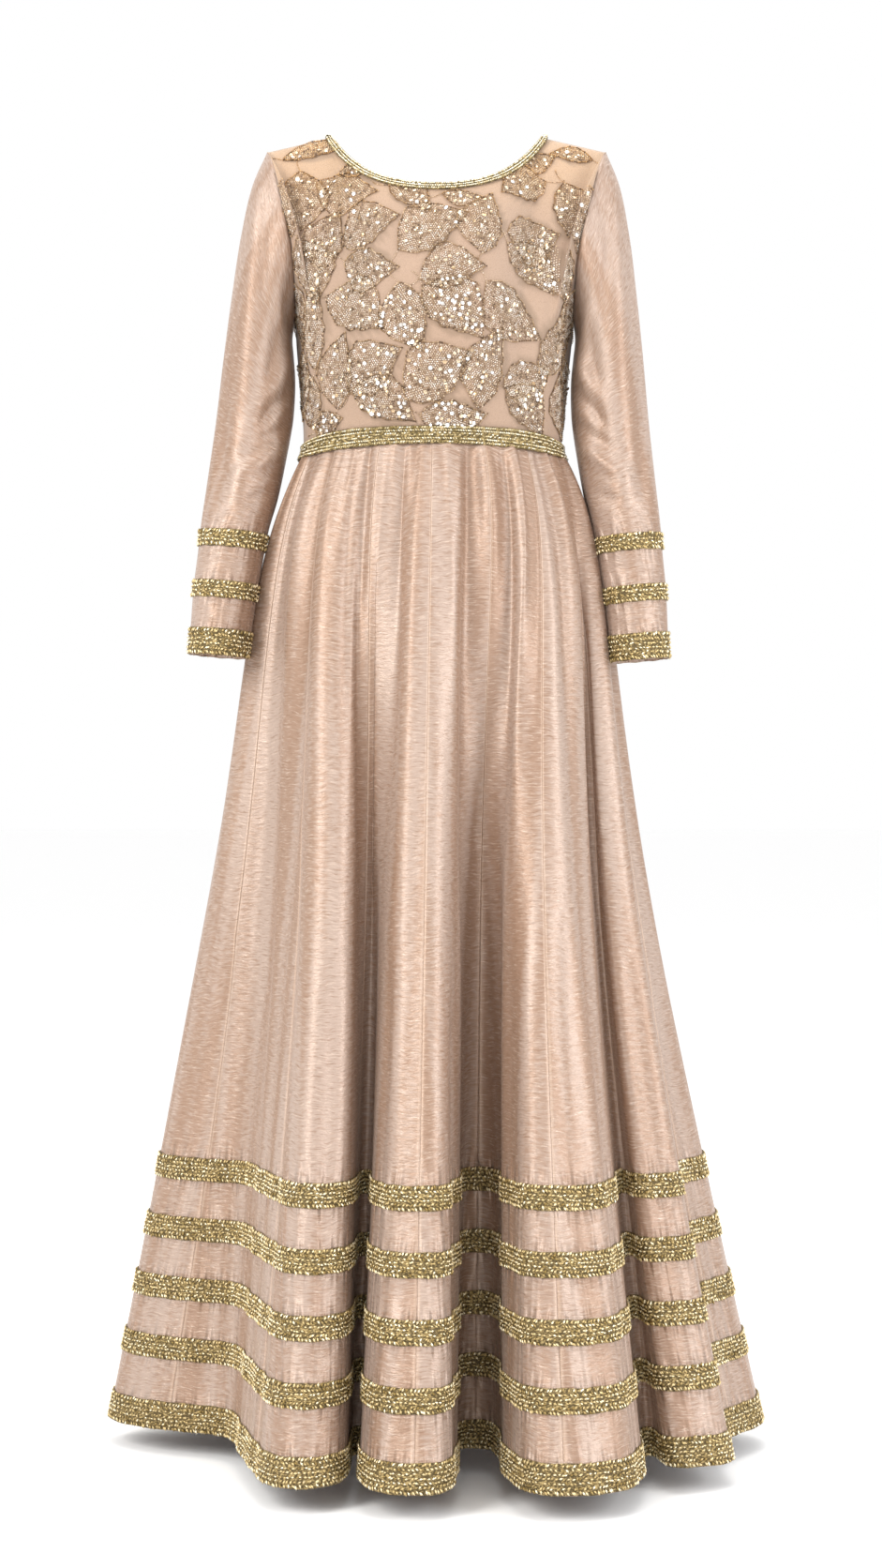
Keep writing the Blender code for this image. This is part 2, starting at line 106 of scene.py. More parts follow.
# ---- The kalis of the skirt
# Sixteen long gores of rose dupion silk, sewn edge to edge and gathered a little into the
# waist. They hang from the waist seam in deep flutes. Dupion has uneven weft slubs.
MM = 0.001
WAIST_DROP = 0.334
WAIST_RISE = 0.007
HEM_DROP = 1.3655
SKIRT_HEIGHT = HEM_DROP - WAIST_DROP
SWAY = -0.0045
WAIST_HALF_WIDTH = 0.1375
WAIST_FRONT = 0.100
WAIST_BACK = 0.095
KALIS = 16
GATHERS = 32
GATHER_DEPTH = 0.0018
GATHER_PEAK = 0.05
Flare = namedtuple("Flare", "power fullness peak")
RIGHT_FLARE = Flare(power=1.00, fullness=0.0195, peak=0.145)
LEFT_FLARE = Flare(power=1.10, fullness=0.0195, peak=0.125)
FLARE_ONSET = 1.3

# The hem from above, in millimetres and degrees, as in the CAD
Bend = namedtuple("Bend", "name x y heading before after")
HEM_BENDS = (
    Bend("side crest A", -348, 4, -78, 45, 50),
    Bend("valley A", -222, -80, -25, 45, 40),
    Bend("crest B", -134, -301, -2, 64, 76),
    Bend("valley B", -80, -160, 0, 24, 24),
    Bend("crest C", -17, -326, 0, 98, 72),
    Bend("valley C", 35, -134, 0, 48, 55),
    Bend("crest D", 132, -328, 8, 95, 112),
    Bend("valley D", 212, -165, 10, 27, 28),
    Bend("crest E", 258, -214, 15, 55, 74),
    Bend("valley E", 294, -108, 75, 30, 36),
    Bend("side crest F", 346, 0, 95, 50, 55),
    Bend("valley F", 262, 88, 118, 45, 45),
    Bend("crest G", 268, 205, 130, 70, 75),
    Bend("valley G", 150, 176, 155, 45, 45),
    Bend("crest H", 128, 318, 168, 76, 80),
    Bend("valley H", 62, 168, 175, 45, 45),
    Bend("crest I", -12, 332, 182, 84, 78),
    Bend("valley I", -66, 172, 185, 42, 45),
    Bend("crest J", -140, 312, 196, 78, 80),
    Bend("valley J", -160, 170, 205, 45, 45),
    Bend("crest K", -272, 200, 228, 72, 75),
    Bend("valley K", -264, 92, 240, 45, 45),
)
OUTLINE_STEPS = 60


def blend(a, b, share):
    return a + (b - a) * share


def bezier(a, b, c, d, t):
    s = 1 - t
    return a * s**3 + b * 3 * s * s * t + c * 3 * s * t * t + d * t**3


def swell(fraction, peak):
    """Rises from 0 to 1 at the peak and fades away past it."""
    return fraction / peak * np.exp(1 - fraction / peak)


def bend_handle(bend, reach):
    way = math.radians(bend.heading)
    return np.array((bend.x + reach * math.cos(way), bend.y + reach * math.sin(way)))


hem_parts = []
for bend, following in zip(HEM_BENDS, HEM_BENDS[1:] + HEM_BENDS[:1]):
    t = np.arange(OUTLINE_STEPS)[:, None] / OUTLINE_STEPS
    hem_parts.append(bezier(
        bend_handle(bend, 0), bend_handle(bend, bend.after),
        bend_handle(following, -following.before), bend_handle(following, 0), t,
    ))
hem_points = np.concatenate(hem_parts + [hem_parts[0][:1]]) * MM
hem_lengths = np.concatenate([[0.0], np.cumsum(np.linalg.norm(np.diff(hem_points, axis=0), axis=1))])
hem_total = hem_lengths[-1]
crest_c = [bend.name for bend in HEM_BENDS].index("crest C")
hem_front = hem_lengths[crest_c * OUTLINE_STEPS - 1]


def skirt_form(kali, drop):
    """Points of the skirt without its creases. Kali is counted from the centre front towards the
    wearer's left, and drop is the share of the way down."""
    kali, drop = np.broadcast_arrays(kali, drop)
    turn = math.tau * kali / KALIS
    length = (hem_front + hem_total * kali / KALIS) % hem_total
    foot_x = np.interp(length, hem_lengths, hem_points[:, 0])
    foot_y = np.interp(length, hem_lengths, hem_points[:, 1])
    sine = np.sin(turn)
    cosine = np.cos(turn)
    top_x = SWAY + WAIST_HALF_WIDTH * sine
    top_y = -np.where(cosine > 0, WAIST_FRONT, WAIST_BACK) * cosine
    top_z = WAIST_RISE * np.maximum(cosine, 0) ** 2 - WAIST_DROP
    power, fullness, peak = (blend(r, l, (1 + sine) / 2) for r, l in zip(RIGHT_FLARE, LEFT_FLARE))
    spread = drop**power
    out = fullness * swell(drop, peak) ** FLARE_ONSET
    out = out + GATHER_DEPTH * swell(drop, GATHER_PEAK) * np.cos(GATHERS * turn)
    return np.stack([
        blend(top_x, foot_x, spread) + out * sine,
        blend(top_y, foot_y, spread) - out * cosine,
        blend(top_z, -HEM_DROP, drop),
    ], axis=-1)


def unit(ways):
    return ways / np.maximum(np.linalg.norm(ways, axis=-1, keepdims=True), 1e-9)


def surface_frame(form, across, down, across_step, down_step):
    """Points of a surface, the ways along its rows and its outward normals."""
    points = form(across, down)
    along = unit(form(across + across_step, down) - form(across - across_step, down))
    falling = form(across, down + down_step) - form(across, down - down_step)
    return points, along, unit(np.cross(along, -falling))


# The smaller flutes and troughs between the great folds: where they run in
# kalis, how they drift on the way down, the shares of the drop where they start and end, their
# depth in millimetres (troughs are negative) and their half width in kalis
Flute = namedtuple("Flute", "at drift top foot depth width")
FLUTES = tuple(Flute(*row) for row in (
    (-3.62, 0.10, 0.00, 0.60, -6.5, 0.15), (-3.30, 0.05, 0.00, 0.75, 5.4, 0.13),
    (-2.92, 0.15, 0.00, 0.50, -5.8, 0.12), (-2.55, 0.10, 0.02, 0.85, 5.8, 0.15),
    (-2.18, 0.00, 0.00, 0.55, -6.1, 0.12), (-1.82, 0.10, 0.00, 0.70, 6.1, 0.14),
    (-1.45, 0.02, 0.00, 0.45, -5.4, 0.11), (-1.19, 0.05, 0.03, 0.62, -6.5, 0.13),
    (-0.86, 0.06, 0.00, 0.80, 6.5, 0.15), (-0.51, 0.04, 0.00, 0.42, -7.6, 0.12),
    (-0.20, 0.00, 0.02, 0.65, 4.7, 0.12), (0.31, 0.05, 0.00, 0.50, 4.0, 0.14),
    (0.66, 0.02, 0.00, 0.58, -7.9, 0.15), (1.02, -0.05, 0.00, 0.72, 6.8, 0.16),
    (1.36, 0.00, 0.01, 0.40, -6.8, 0.11), (1.62, 0.05, 0.00, 0.66, 6.1, 0.13),
    (1.95, -0.02, 0.00, 0.52, -6.8, 0.13), (2.36, 0.00, 0.00, 0.78, -5.4, 0.11),
    (2.66, 0.05, 0.03, 0.70, 6.1, 0.14), (3.05, -0.10, 0.00, 0.48, -6.5, 0.13),
    (3.45, 0.00, 0.00, 0.82, 5.8, 0.15), (3.80, -0.05, 0.00, 0.55, -5.8, 0.12),
    (4.22, 0.05, 0.00, 0.64, 6.1, 0.14), (4.60, 0.00, 0.02, 0.50, -6.8, 0.13),
    (5.02, -0.08, 0.00, 0.74, 5.4, 0.15), (5.40, 0.04, 0.00, 0.56, -6.1, 0.12),
    (5.88, 0.00, 0.01, 0.68, 6.5, 0.14), (6.24, 0.05, 0.00, 0.46, -5.8, 0.12),
    (6.70, -0.04, 0.00, 0.80, 5.4, 0.15), (7.08, 0.00, 0.00, 0.58, -7.2, 0.14),
    (7.52, 0.06, 0.00, 0.62, 6.1, 0.13), (7.92, 0.00, 0.02, 0.50, -5.4, 0.12),
    (-7.62, 0.05, 0.00, 0.70, 5.8, 0.14), (-7.20, -0.03, 0.00, 0.54, -6.8, 0.13),
    (-6.74, 0.00, 0.00, 0.76, 6.1, 0.15), (-6.34, 0.06, 0.01, 0.48, -5.8, 0.12),
    (-5.90, 0.00, 0.00, 0.66, 6.5, 0.14), (-5.46, 0.04, 0.00, 0.56, -6.5, 0.13),
    (-5.04, -0.05, 0.02, 0.72, 5.4, 0.14), (-4.62, 0.00, 0.00, 0.50, -6.8, 0.12),
    (-4.16, 0.05, 0.00, 0.78, 6.1, 0.15), (-3.75, 0.00, 0.45, 1.20, -9.0, 0.10),
    (-3.10, 0.05, 0.50, 1.20, -7.6, 0.12), (-2.62, 0.00, 0.55, 1.20, 6.1, 0.12),
    (-1.55, 0.04, 0.52, 1.20, -5.4, 0.08), (-0.30, 0.00, 0.50, 1.20, -4.0, 0.09),
    (0.34, 0.02, 0.55, 1.20, -4.3, 0.08), (1.22, 0.00, 0.40, 1.15, -5.4, 0.10),
    (1.86, 0.02, 0.50, 1.20, 5.8, 0.12), (2.20, -0.02, 0.45, 1.20, -6.1, 0.10),
    (3.34, 0.00, 0.50, 1.20, -5.4, 0.09), (4.10, 0.04, 0.55, 1.20, -7.6, 0.12),
    (5.55, 0.00, 0.48, 1.20, 6.1, 0.13), (6.35, 0.03, 0.50, 1.20, -6.5, 0.11),
    (7.30, 0.00, 0.52, 1.20, -5.4, 0.12), (-7.00, 0.00, 0.50, 1.20, -6.8, 0.11),
    (-5.60, 0.02, 0.46, 1.20, 6.1, 0.12), (-4.80, 0.00, 0.55, 1.20, -6.5, 0.12),
    (-3.95, 0.02, 0.35, 1.60, -6.0, 0.09), (-3.52, 0.00, 0.30, 1.60, 6.0, 0.10),
    (-3.26, 0.03, 0.45, 1.50, -5.5, 0.09), (-2.84, 0.00, 0.30, 1.60, -5.0, 0.10),
    (-2.40, 0.02, 0.40, 1.60, 5.0, 0.10), (-1.98, 0.00, 0.40, 1.50, -4.0, 0.07),
    (-0.78, 0.02, 0.42, 1.50, -3.6, 0.07), (-0.08, 0.02, 0.30, 1.50, -2.6, 0.07),
    (0.55, 0.00, 0.42, 1.60, 3.6, 0.08), (1.04, 0.02, 0.45, 1.60, -4.4, 0.08),
    (1.48, 0.00, 0.35, 1.60, 4.4, 0.10), (2.44, 0.02, 0.42, 1.60, -5.0, 0.08),
    (2.92, 0.00, 0.40, 1.60, 4.6, 0.09), (3.62, 0.02, 0.38, 1.60, -5.4, 0.09),
    (4.52, 0.00, 0.40, 1.60, 5.0, 0.10), (5.18, 0.02, 0.42, 1.60, -5.2, 0.09),
    (6.00, 0.00, 0.36, 1.60, 4.8, 0.09), (6.82, 0.02, 0.40, 1.60, -5.0, 0.09),
    (7.74, 0.00, 0.44, 1.60, 4.6, 0.10), (-7.40, 0.02, 0.40, 1.60, -5.2, 0.09),
    (-6.20, 0.00, 0.38, 1.60, 5.0, 0.10), (-5.20, 0.02, 0.42, 1.60, -5.0, 0.09),
    (-4.40, 0.00, 0.40, 1.60, 4.8, 0.10),
))

# Short uneven pleats where the cloth is gathered into the waist. Every crease dies out over the
# last share of the drop under the braid, so that the braid lies flat.
PLEATS = 52
WAIST_HOLD = 0.014
pleat_chance = random.Random(4)
PLEAT_FLUTES = tuple(
    Flute(at=(pleat - PLEATS / 2 + pleat_chance.uniform(-0.35, 0.35)) * KALIS / PLEATS,
          drift=pleat_chance.uniform(-0.1, 0.1), top=-0.004, foot=pleat_chance.uniform(0.06, 0.18),
          depth=pleat_chance.choice((-2.6, -1.8, 1.6, 2.2)), width=pleat_chance.uniform(0.055, 0.10))
    for pleat in range(PLEATS)
)


def flute_depth(kali, drop):
    """How far the creases stand out of the skirt, in metres."""
    depth = 0.0
    for flute in FLUTES + PLEAT_FLUTES:
        apart = (kali - flute.at - flute.drift * drop + KALIS / 2) % KALIS - KALIS / 2
        run = np.clip((drop - flute.top) / (flute.foot - flute.top), 0.0, 1.0)
        fade = np.sin(math.pi * np.sqrt(run)) ** 1.2
        depth = depth + flute.depth * MM * fade * np.exp(-((apart / flute.width) ** 2))
    return depth * np.clip(drop / WAIST_HOLD, 0.0, 1.0)


# How far apart the skirt's ways are measured, in kalis and in shares of the drop
SKIRT_STEPS = (0.02, 0.002)
SKIRT_MARGIN = 0.0021


def skirt_surface(kali, drop, out=0.0):
    """Points, ways along the cloth and normals of the creased skirt, moved out by a distance."""
    inside = np.clip(drop, SKIRT_MARGIN, 1 - SKIRT_MARGIN)
    _, along, normals = surface_frame(skirt_form, kali, inside, *SKIRT_STEPS)
    points = skirt_form(kali, drop)
    depth = flute_depth(kali, drop) + out
    return points + normals * depth[..., None], along, normals


class Wire:
    """An output of a material's node. Sums on it add Math nodes to the same material."""

    def __init__(self, paint, socket):
        self.paint = paint
        self.socket = socket

    def maths(self, operation, first, second):
        return self.paint.node("Math", {0: first, 1: second}, operation=operation)

    def __add__(self, other):
        return self.maths("ADD", self, other)

    def __sub__(self, other):
        return self.maths("SUBTRACT", self, other)

    def __mul__(self, other):
        return self.maths("MULTIPLY", self, other)

    def __rsub__(self, other):
        return self.maths("SUBTRACT", other, self)

    __radd__ = __add__
    __rmul__ = __mul__


class Paint:
    """A material with one Principled shader."""

    def __init__(self, name, **sockets):
        self.material = bpy.data.materials.new(name)
        self.material.use_nodes = True
        self.tree = self.material.node_tree
        self.shader = self.tree.nodes["Principled BSDF"]
        for socket, value in sockets.items():
            self.feed(self.shader.inputs[socket.replace("_", " ")], value)

    def feed(self, socket, value):
        if isinstance(value, Wire):
            self.tree.links.new(value.socket, socket)
        else:
            socket.default_value = value

    def node(self, kind, inputs, output=0, stops=(), **settings):
        """Adds a node: its settings first, then the values or wires of its sockets."""
        made = self.tree.nodes.new("ShaderNode" + kind)
        for setting, value in settings.items():
            setattr(made, setting, value)
        for number, (place, colour) in enumerate(stops):
            ramp = made.color_ramp.elements
            stop = ramp[number] if number < len(ramp) else ramp.new(place)
            stop.position = place
            stop.color = (*colour, 1.0)
        for socket, value in inputs.items():
            self.feed(made.inputs[socket], value)
        return Wire(self, made.outputs[output])

    def mixed(self, factor, first, second, blend_type="MIX"):
        """Two colours, each a wire or three numbers, mixed by a factor."""
        first, second = (c if isinstance(c, Wire) else (*c, 1.0) for c in (first, second))
        return self.node("Mix", {0: factor, 6: first, 7: second}, output=2, data_type="RGBA",
                         blend_type=blend_type)

    def stretched(self, place, scale, **noise_inputs):
        """Noise from 0 to 1 on coordinates scaled by three numbers."""
        scaled = self.node("VectorMath", {0: place, 1: scale}, operation="MULTIPLY")
        return self.node("TexNoise", {"Vector": scaled, "Scale": 1.0, **noise_inputs})

    def ranged(self, value, low, high, to_low=0.0, to_high=1.0):
        """A smooth step between two numbers as the value goes from low to high."""
        return self.node("MapRange", {0: value, 1: low, 2: high, 3: to_low, 4: to_high},
                         interpolation_type="SMOOTHSTEP")

    def set(self, socket, value):
        self.feed(self.shader.inputs[socket], value)

    def raise_by(self, millimetres):
        """Bumps the surface by a height in millimetres."""
        self.set("Normal", self.node("Bump", {"Strength": 1.0, "Distance": 0.001, "Height": millimetres}))


def make_silk():
    silk = Paint("rose dupion silk", Metallic=0.22, Sheen_Weight=0.08, Sheen_Roughness=0.4,
                 Sheen_Tint=(1.0, 0.86, 0.76, 1.0), Specular_IOR_Level=0.75,
                 Specular_Tint=(1.0, 0.90, 0.83, 1.0))
    cloth_place = silk.node("UVMap", {}, uv_map="cloth")
    wander = silk.stretched(cloth_place, (30, 11, 1), Detail=2.0)
    shift = silk.node("CombineXYZ", {0: 0.0, 1: wander * 0.012, 2: 0.0})
    warp_place = silk.node("VectorMath", {0: cloth_place, 1: shift}, operation="ADD")
    slub = silk.stretched(warp_place, (75, 640, 1), Detail=2.0, Roughness=0.6)
    streak = silk.ranged(slub, 0.54, 0.70)
    dark_weft = silk.ranged(slub, 0.47, 0.30)
    weft = silk.stretched(warp_place, (110, 1500, 1), Detail=2.0)
    # Mottle and lustre make long soft vertical bands where the silk's colour is painted lighter: a painted
    # sheen standing in for the silk's broad highlights.
    sheen_mottle = silk.stretched(warp_place, (95, 300, 1), Detail=3.0)
    lustre = silk.stretched(cloth_place, (34, 1.7, 1), Detail=2.0)
    painted_sheen_bands = silk.ranged(lustre + sheen_mottle * 0.5, 0.60, 0.90)
    cloud = silk.stretched(cloth_place, (8, 6, 1), Detail=3.0)
    # Painted sheen: the colour runs from the darker tone to the lighter one along these bands.
    colour = silk.mixed(painted_sheen_bands, (0.280, 0.172, 0.114), (0.390, 0.297, 0.246))
    colour = silk.mixed(cloud * 0.45, colour, (0.35, 0.238, 0.178))
    colour = silk.mixed(dark_weft * 0.64, colour, (0.20, 0.112, 0.064))
    colour = silk.mixed(streak * 0.60, colour, (0.57, 0.44, 0.355))
    # A paler line beside each seam: a painted highlight along the ridge of the seam.
    seam = silk.node("Attribute", {}, output=2, attribute_name="seam")
    colour = silk.mixed(seam * 0.4, colour, (0.58, 0.43, 0.33))
    silk.set("Base Color", colour)
    silk.set("Roughness", 0.37 - streak * 0.08 + weft * 0.08)
    pucker = silk.node("Attribute", {}, output=2, attribute_name="pucker")
    ripple = silk.ranged(silk.stretched(cloth_place, (95, 10, 1), Detail=1.0), 0.34, 0.68)
    crinkle = silk.stretched(warp_place, (105, 330, 1), Detail=3.0, Roughness=0.6)
    silk.raise_by(streak * 0.20 + weft * 0.06 + crinkle * 0.95 + pucker * ripple * 4.2)
    return silk.material


rose_silk = make_silk()


CLOTH_THICKNESS = 0.0006


def cloth(name, points, place, material, marks, closed=False, thickness=CLOTH_THICKNESS):
    """A thin shell on a grid of points. Rows run down, and columns run from the wearer's right
    over the front to the left. Place gives the cloth's own metres at each point."""
    rows, columns = points.shape[:2]
    index = np.arange(rows * columns).reshape(rows, columns)
    if closed:
        index = np.hstack([index, index[:, :1]])
    corners = ((0, 0), (1, 0), (1, 1), (0, 1))
    spans = index.shape[1] - 1
    quads = [index[r:rows - 1 + r, c:spans + c] for r, c in corners]
    corner_places = [place[r:rows - 1 + r, c:spans + c] for r, c in corners]
    mesh = bpy.data.meshes.new(name)
    mesh.from_pydata(points.reshape(-1, 3).tolist(), [], np.stack(quads, axis=-1).reshape(-1, 4).tolist())
    mesh.shade_smooth()
    layer = mesh.uv_layers.new(name="cloth")
    layer.data.foreach_set("uv", np.stack(corner_places, axis=2).reshape(-1).astype(np.float32))
    for label, values in marks.items():
        mark = mesh.attributes.new(label, "FLOAT", "POINT")
        spread = np.broadcast_to(values, (rows, columns)).reshape(-1)
        mark.data.foreach_set("value", spread.astype(np.float32))
    mesh.materials.append(material)
    piece = bpy.data.objects.new(name, mesh)
    bpy.context.collection.objects.link(piece)
    shell = piece.modifiers.new("cloth thickness", "SOLIDIFY")
    shell.thickness = thickness
    shell.offset = -1.0
    return piece


def cloth_place(points, shift=0.0, closed=False):
    """Each point's metres along its row, from the row's middle, and down its column."""
    if closed:
        points = np.concatenate([points, points[:, :1]], axis=1)
    steps = np.linalg.norm(np.diff(points, axis=1), axis=-1)
    along = np.concatenate([np.zeros((len(points), 1)), np.cumsum(steps, axis=1)], axis=1)
    along -= along[:, -1:] / 2
    falls = np.linalg.norm(np.diff(points, axis=0), axis=-1).mean(axis=1)
    down = np.concatenate([[0.0], np.cumsum(falls)])[:, None]
    return np.stack([along + shift, np.broadcast_to(down, along.shape) + shift * 0.37], axis=-1)


# Heights of the braids above the hem: the foot and the top of each
BraidBand = namedtuple("BraidBand", "name foot top")
SKIRT_BANDS = (
    BraidBand("tier_trim_1", 0.2594, 0.2834),
    BraidBand("tier_trim_2", 0.1971, 0.2211),
    BraidBand("tier_trim_3", 0.1348, 0.1588),
    BraidBand("tier_trim_4", 0.0725, 0.0965),
    BraidBand("hem_trim", 0.0, 0.029),
)
PUCKER_REACH = 0.009
# Columns beside each seam: a small dip in the cloth there, and a paler line painted into the silk's colour as
# a highlight on the seam's ridge.
SEAM_COLUMNS = (0.0, 0.009, 0.022)
SEAM_DIP = (0.0003, 0.0, 0.0)
SEAM_HIGHLIGHT = (0.5, 1.0, 0.0)
kali_rows = np.concatenate([
    np.linspace(0.0, 0.12, 22, endpoint=False),
    np.linspace(0.12, 0.70, 26, endpoint=False),
    np.linspace(0.70, 1.0, 56),
])
kali_columns = np.concatenate([
    SEAM_COLUMNS, np.linspace(0.045, 0.955, 29), 1 - np.array(SEAM_COLUMNS[::-1]),
])
PATTERN_STEP = 0.61


def at_seams(values):
    """A row of a kali with the values at its two seams and 0 between them."""
    row = np.zeros(len(kali_columns))
    row[:len(values)] = values
    row[-len(values):] = values[::-1]
    return row


def puckered(places, bands):
    """How much the cloth puckers at places down it, beside bands given by their two edges."""
    puckers = np.zeros(len(places))
    for low, high in bands:
        away = np.maximum(np.maximum(low - places, places - high), 0.0)
        puckers = np.maximum(puckers, np.exp(-away / PUCKER_REACH))
    return puckers


def worn(piece, node, slot, **cut):
    """Puts a cloth piece in its node's place on the gown: hides the node and hangs the piece on the root. Its
    finish (slot) and the size it was cut to (cut) are not used.
    """
    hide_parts(node)
    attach(piece, "root")


seam_dips = at_seams(SEAM_DIP)
seam_highlights = at_seams(SEAM_HIGHLIGHT)
pucker_rows = puckered(SKIRT_HEIGHT * (1 - kali_rows), [(band.foot, band.top) for band in SKIRT_BANDS])

for number in range(KALIS):
    name = f"kali_{number + 1:02d}"
    points, _, _ = skirt_surface((number + kali_columns)[None, :], kali_rows[:, None], -seam_dips[None, :])
    panel = cloth(name + "_silk", points, cloth_place(points, shift=PATTERN_STEP * number), rose_silk,
                  {"seam": seam_highlights[None, :], "pucker": pucker_rows[:, None]})
    worn(panel, name, "rose_silk", flat=(0.235, 1.05), held="hung", rests_on=["waist_trim"], area=0.142)


# ---- The braids of the skirt
# Flat plaited braid of olive-gold metallic thread, 24 mm wide and 29 mm at the hem, sewn on
# after the kalis are joined. Its stitches slant in rows, bright at the edges of the plait.
def make_braid_ground_and_gap_shade():
    ground = Paint("braid ground thread", Metallic=0.35, Roughness=0.6)
    place = ground.node("TexCoord", {}, output=3)
    speck = ground.ranged(ground.stretched(place, (380, 380, 560), Detail=2.0), 0.40, 0.64)
    # The ground is dark: partly the braid's own base thread, partly painted shade in the gaps between the
    # stitches.
    ground.set("Base Color", ground.mixed(speck, (0.085, 0.058, 0.019), (0.42, 0.31, 0.135)))
    ground.raise_by(speck * 0.9)
    return ground.material


def make_gold_thread(name, dark, middle, bright):
    thread = Paint(name, Metallic=0.65, Roughness=0.36)
    tone = thread.node("Attribute", {}, output=2, attribute_name="tone")
    between_them = blend(np.array(middle), np.array(bright), 0.55)
    # The bright end of the ramp serves as painted glints: braid_stitches sets one stitch in ten to it.
    stops = ((0.0, dark), (0.45, middle), (0.8, between_them), (1.0, bright))
    thread.set("Base Color", thread.node("ValToRGB", {0: tone}, stops=stops))
    thread.set("Roughness", 0.46 - tone * 0.2)
    return thread.material


braid_ground_and_gap_shade = make_braid_ground_and_gap_shade()
olive_gold = make_gold_thread("olive gold thread",
                              (0.29, 0.20, 0.066), (0.72, 0.56, 0.28), (1.0, 0.90, 0.64))


def grain_tree():
    """Geometry Nodes: one small faceted grain at every vertex, turned along its way."""
    tree = bpy.data.node_groups.new("placed grains", "GeometryNodeTree")
    for label, side, kind in (
        ("Places", "INPUT", "Geometry"), ("Sides", "INPUT", "Int"), ("Size Spread", "INPUT", "Float"),
        ("Turn Spread", "INPUT", "Float"), ("Smooth", "INPUT", "Bool"), ("Seed", "INPUT", "Int"),
        ("Thread", "INPUT", "Material"), ("Grains", "OUTPUT", "Geometry"),
    ):
        tree.interface.new_socket(label, in_out=side, socket_type="NodeSocket" + kind)

    def add(kind, links, **settings):
        made = tree.nodes.new(kind)
        for setting, value in settings.items():
            setattr(made, setting, value)
        for socket, value in links.items():
            if isinstance(value, bpy.types.NodeSocket):
                tree.links.new(value, made.inputs[socket])
            else:
                made.inputs[socket].default_value = value
        return made

    given = add("NodeGroupInput", {}).outputs
    kept = {}
    for label in ("way", "out", "grain"):
        kept[label] = add("GeometryNodeInputNamedAttribute", {0: label}, data_type="FLOAT_VECTOR").outputs[0]
    ball = add("GeometryNodeMeshUVSphere", {"Segments": given["Sides"], "Rings": 2, "Radius": 0.5}).outputs[0]
    ball = add("GeometryNodeSetShadeSmooth", {0: ball, 2: given["Smooth"]}).outputs[0]
    standing = add("FunctionNodeAlignRotationToVector", {"Vector": kept["out"]}, axis="Z").outputs[0]
    laid = add("FunctionNodeAlignRotationToVector", {"Rotation": standing, "Vector": kept["way"]},
               axis="X", pivot_axis="Z").outputs[0]
    lower = add("ShaderNodeMath", {0: given["Turn Spread"], 1: -1.0}, operation="MULTIPLY").outputs[0]
    angle = add("FunctionNodeRandomValue", {2: lower, 3: given["Turn Spread"], 8: given["Seed"]}).outputs[1]
    spin = add("FunctionNodeAxisAngleToRotation", {"Axis": (0, 0, 1), "Angle": angle}).outputs[0]
    turned = add("FunctionNodeRotateRotation", {0: laid, 1: spin}, rotation_space="LOCAL").outputs[0]
    smallest = add("ShaderNodeMath", {0: 1.0, 1: given["Size Spread"]}, operation="SUBTRACT").outputs[0]
    next_seed = add("ShaderNodeMath", {0: given["Seed"], 1: 11.0}, operation="ADD").outputs[0]
    share = add("FunctionNodeRandomValue", {2: smallest, 3: 1.0, 8: next_seed}).outputs[1]
    size = add("ShaderNodeVectorMath", {0: kept["grain"], 3: share}, operation="SCALE").outputs[0]
    placed = add("GeometryNodeInstanceOnPoints", {"Points": given["Places"], "Instance": ball,
                                                  "Rotation": turned, "Scale": size}).outputs[0]
    real = add("GeometryNodeRealizeInstances", {0: placed}).outputs[0]
    painted = add("GeometryNodeSetMaterial", {0: real, 2: given["Thread"]}).outputs[0]
    add("NodeGroupOutput", {0: painted})
    return tree


placed_grains = grain_tree()


def strewn(name, places, ways, outs, grains, tones, material, sides=4, size_spread=0.2, turn_spread=0.1,
           smooth=True, seed=1):
    """A piece of many small grains. Each has a place, a way, a normal, a size and a tone."""
    mesh = bpy.data.meshes.new(name + "_places")
    mesh.from_pydata(np.asarray(places).reshape(-1, 3).tolist(), [], [])
    for label, values in (("way", ways), ("out", outs), ("grain", grains)):
        mark = mesh.attributes.new(label, "FLOAT_VECTOR", "POINT")
        mark.data.foreach_set("vector", np.asarray(values, np.float32).reshape(-1))
    mark = mesh.attributes.new("tone", "FLOAT", "POINT")
    mark.data.foreach_set("value", np.asarray(tones, np.float32).reshape(-1))
    seedling = bpy.data.objects.new(name + "_places", mesh)
    bpy.context.collection.objects.link(seedling)
    modifier = seedling.modifiers.new("grains", "NODES")
    modifier.node_group = placed_grains
    values = {"Sides": sides, "Size Spread": size_spread, "Turn Spread": turn_spread, "Smooth": smooth,
              "Seed": seed, "Thread": material}
    for item in placed_grains.interface.items_tree:
        if item.name in values:
            modifier[item.identifier] = values[item.name]
    graph = bpy.context.evaluated_depsgraph_get()
    grown = bpy.data.meshes.new_from_object(seedling.evaluated_get(graph), depsgraph=graph)
    bpy.data.objects.remove(seedling)
    for label in ("way", "out", "grain"):
        if label in grown.attributes:
            grown.attributes.remove(grown.attributes[label])
    piece = bpy.data.objects.new(name, grown)
    bpy.context.collection.objects.link(piece)
    return piece


# The rows of stitches across a braid, from top to bottom: slant in degrees, the stitch's
# length, width and height in millimetres, and its brightness from 0 to 1
StitchRow = namedtuple("StitchRow", "slant length width height tone")
PLAIT = (
    StitchRow(58, 6.4, 3.0, 2.6, 0.46),
    StitchRow(-42, 5.8, 2.9, 2.2, 0.38),
    StitchRow(14, 5.0, 2.6, 2.9, 0.62),
    StitchRow(-14, 5.0, 2.6, 2.9, 0.62),
    StitchRow(42, 5.8, 2.9, 2.2, 0.38),
    StitchRow(-58, 6.4, 3.0, 2.6, 0.48),
)
HEM_PLAIT = PLAIT[:3] + (StitchRow(24, 5.4, 2.7, 2.4, 0.44),) + PLAIT[3:]


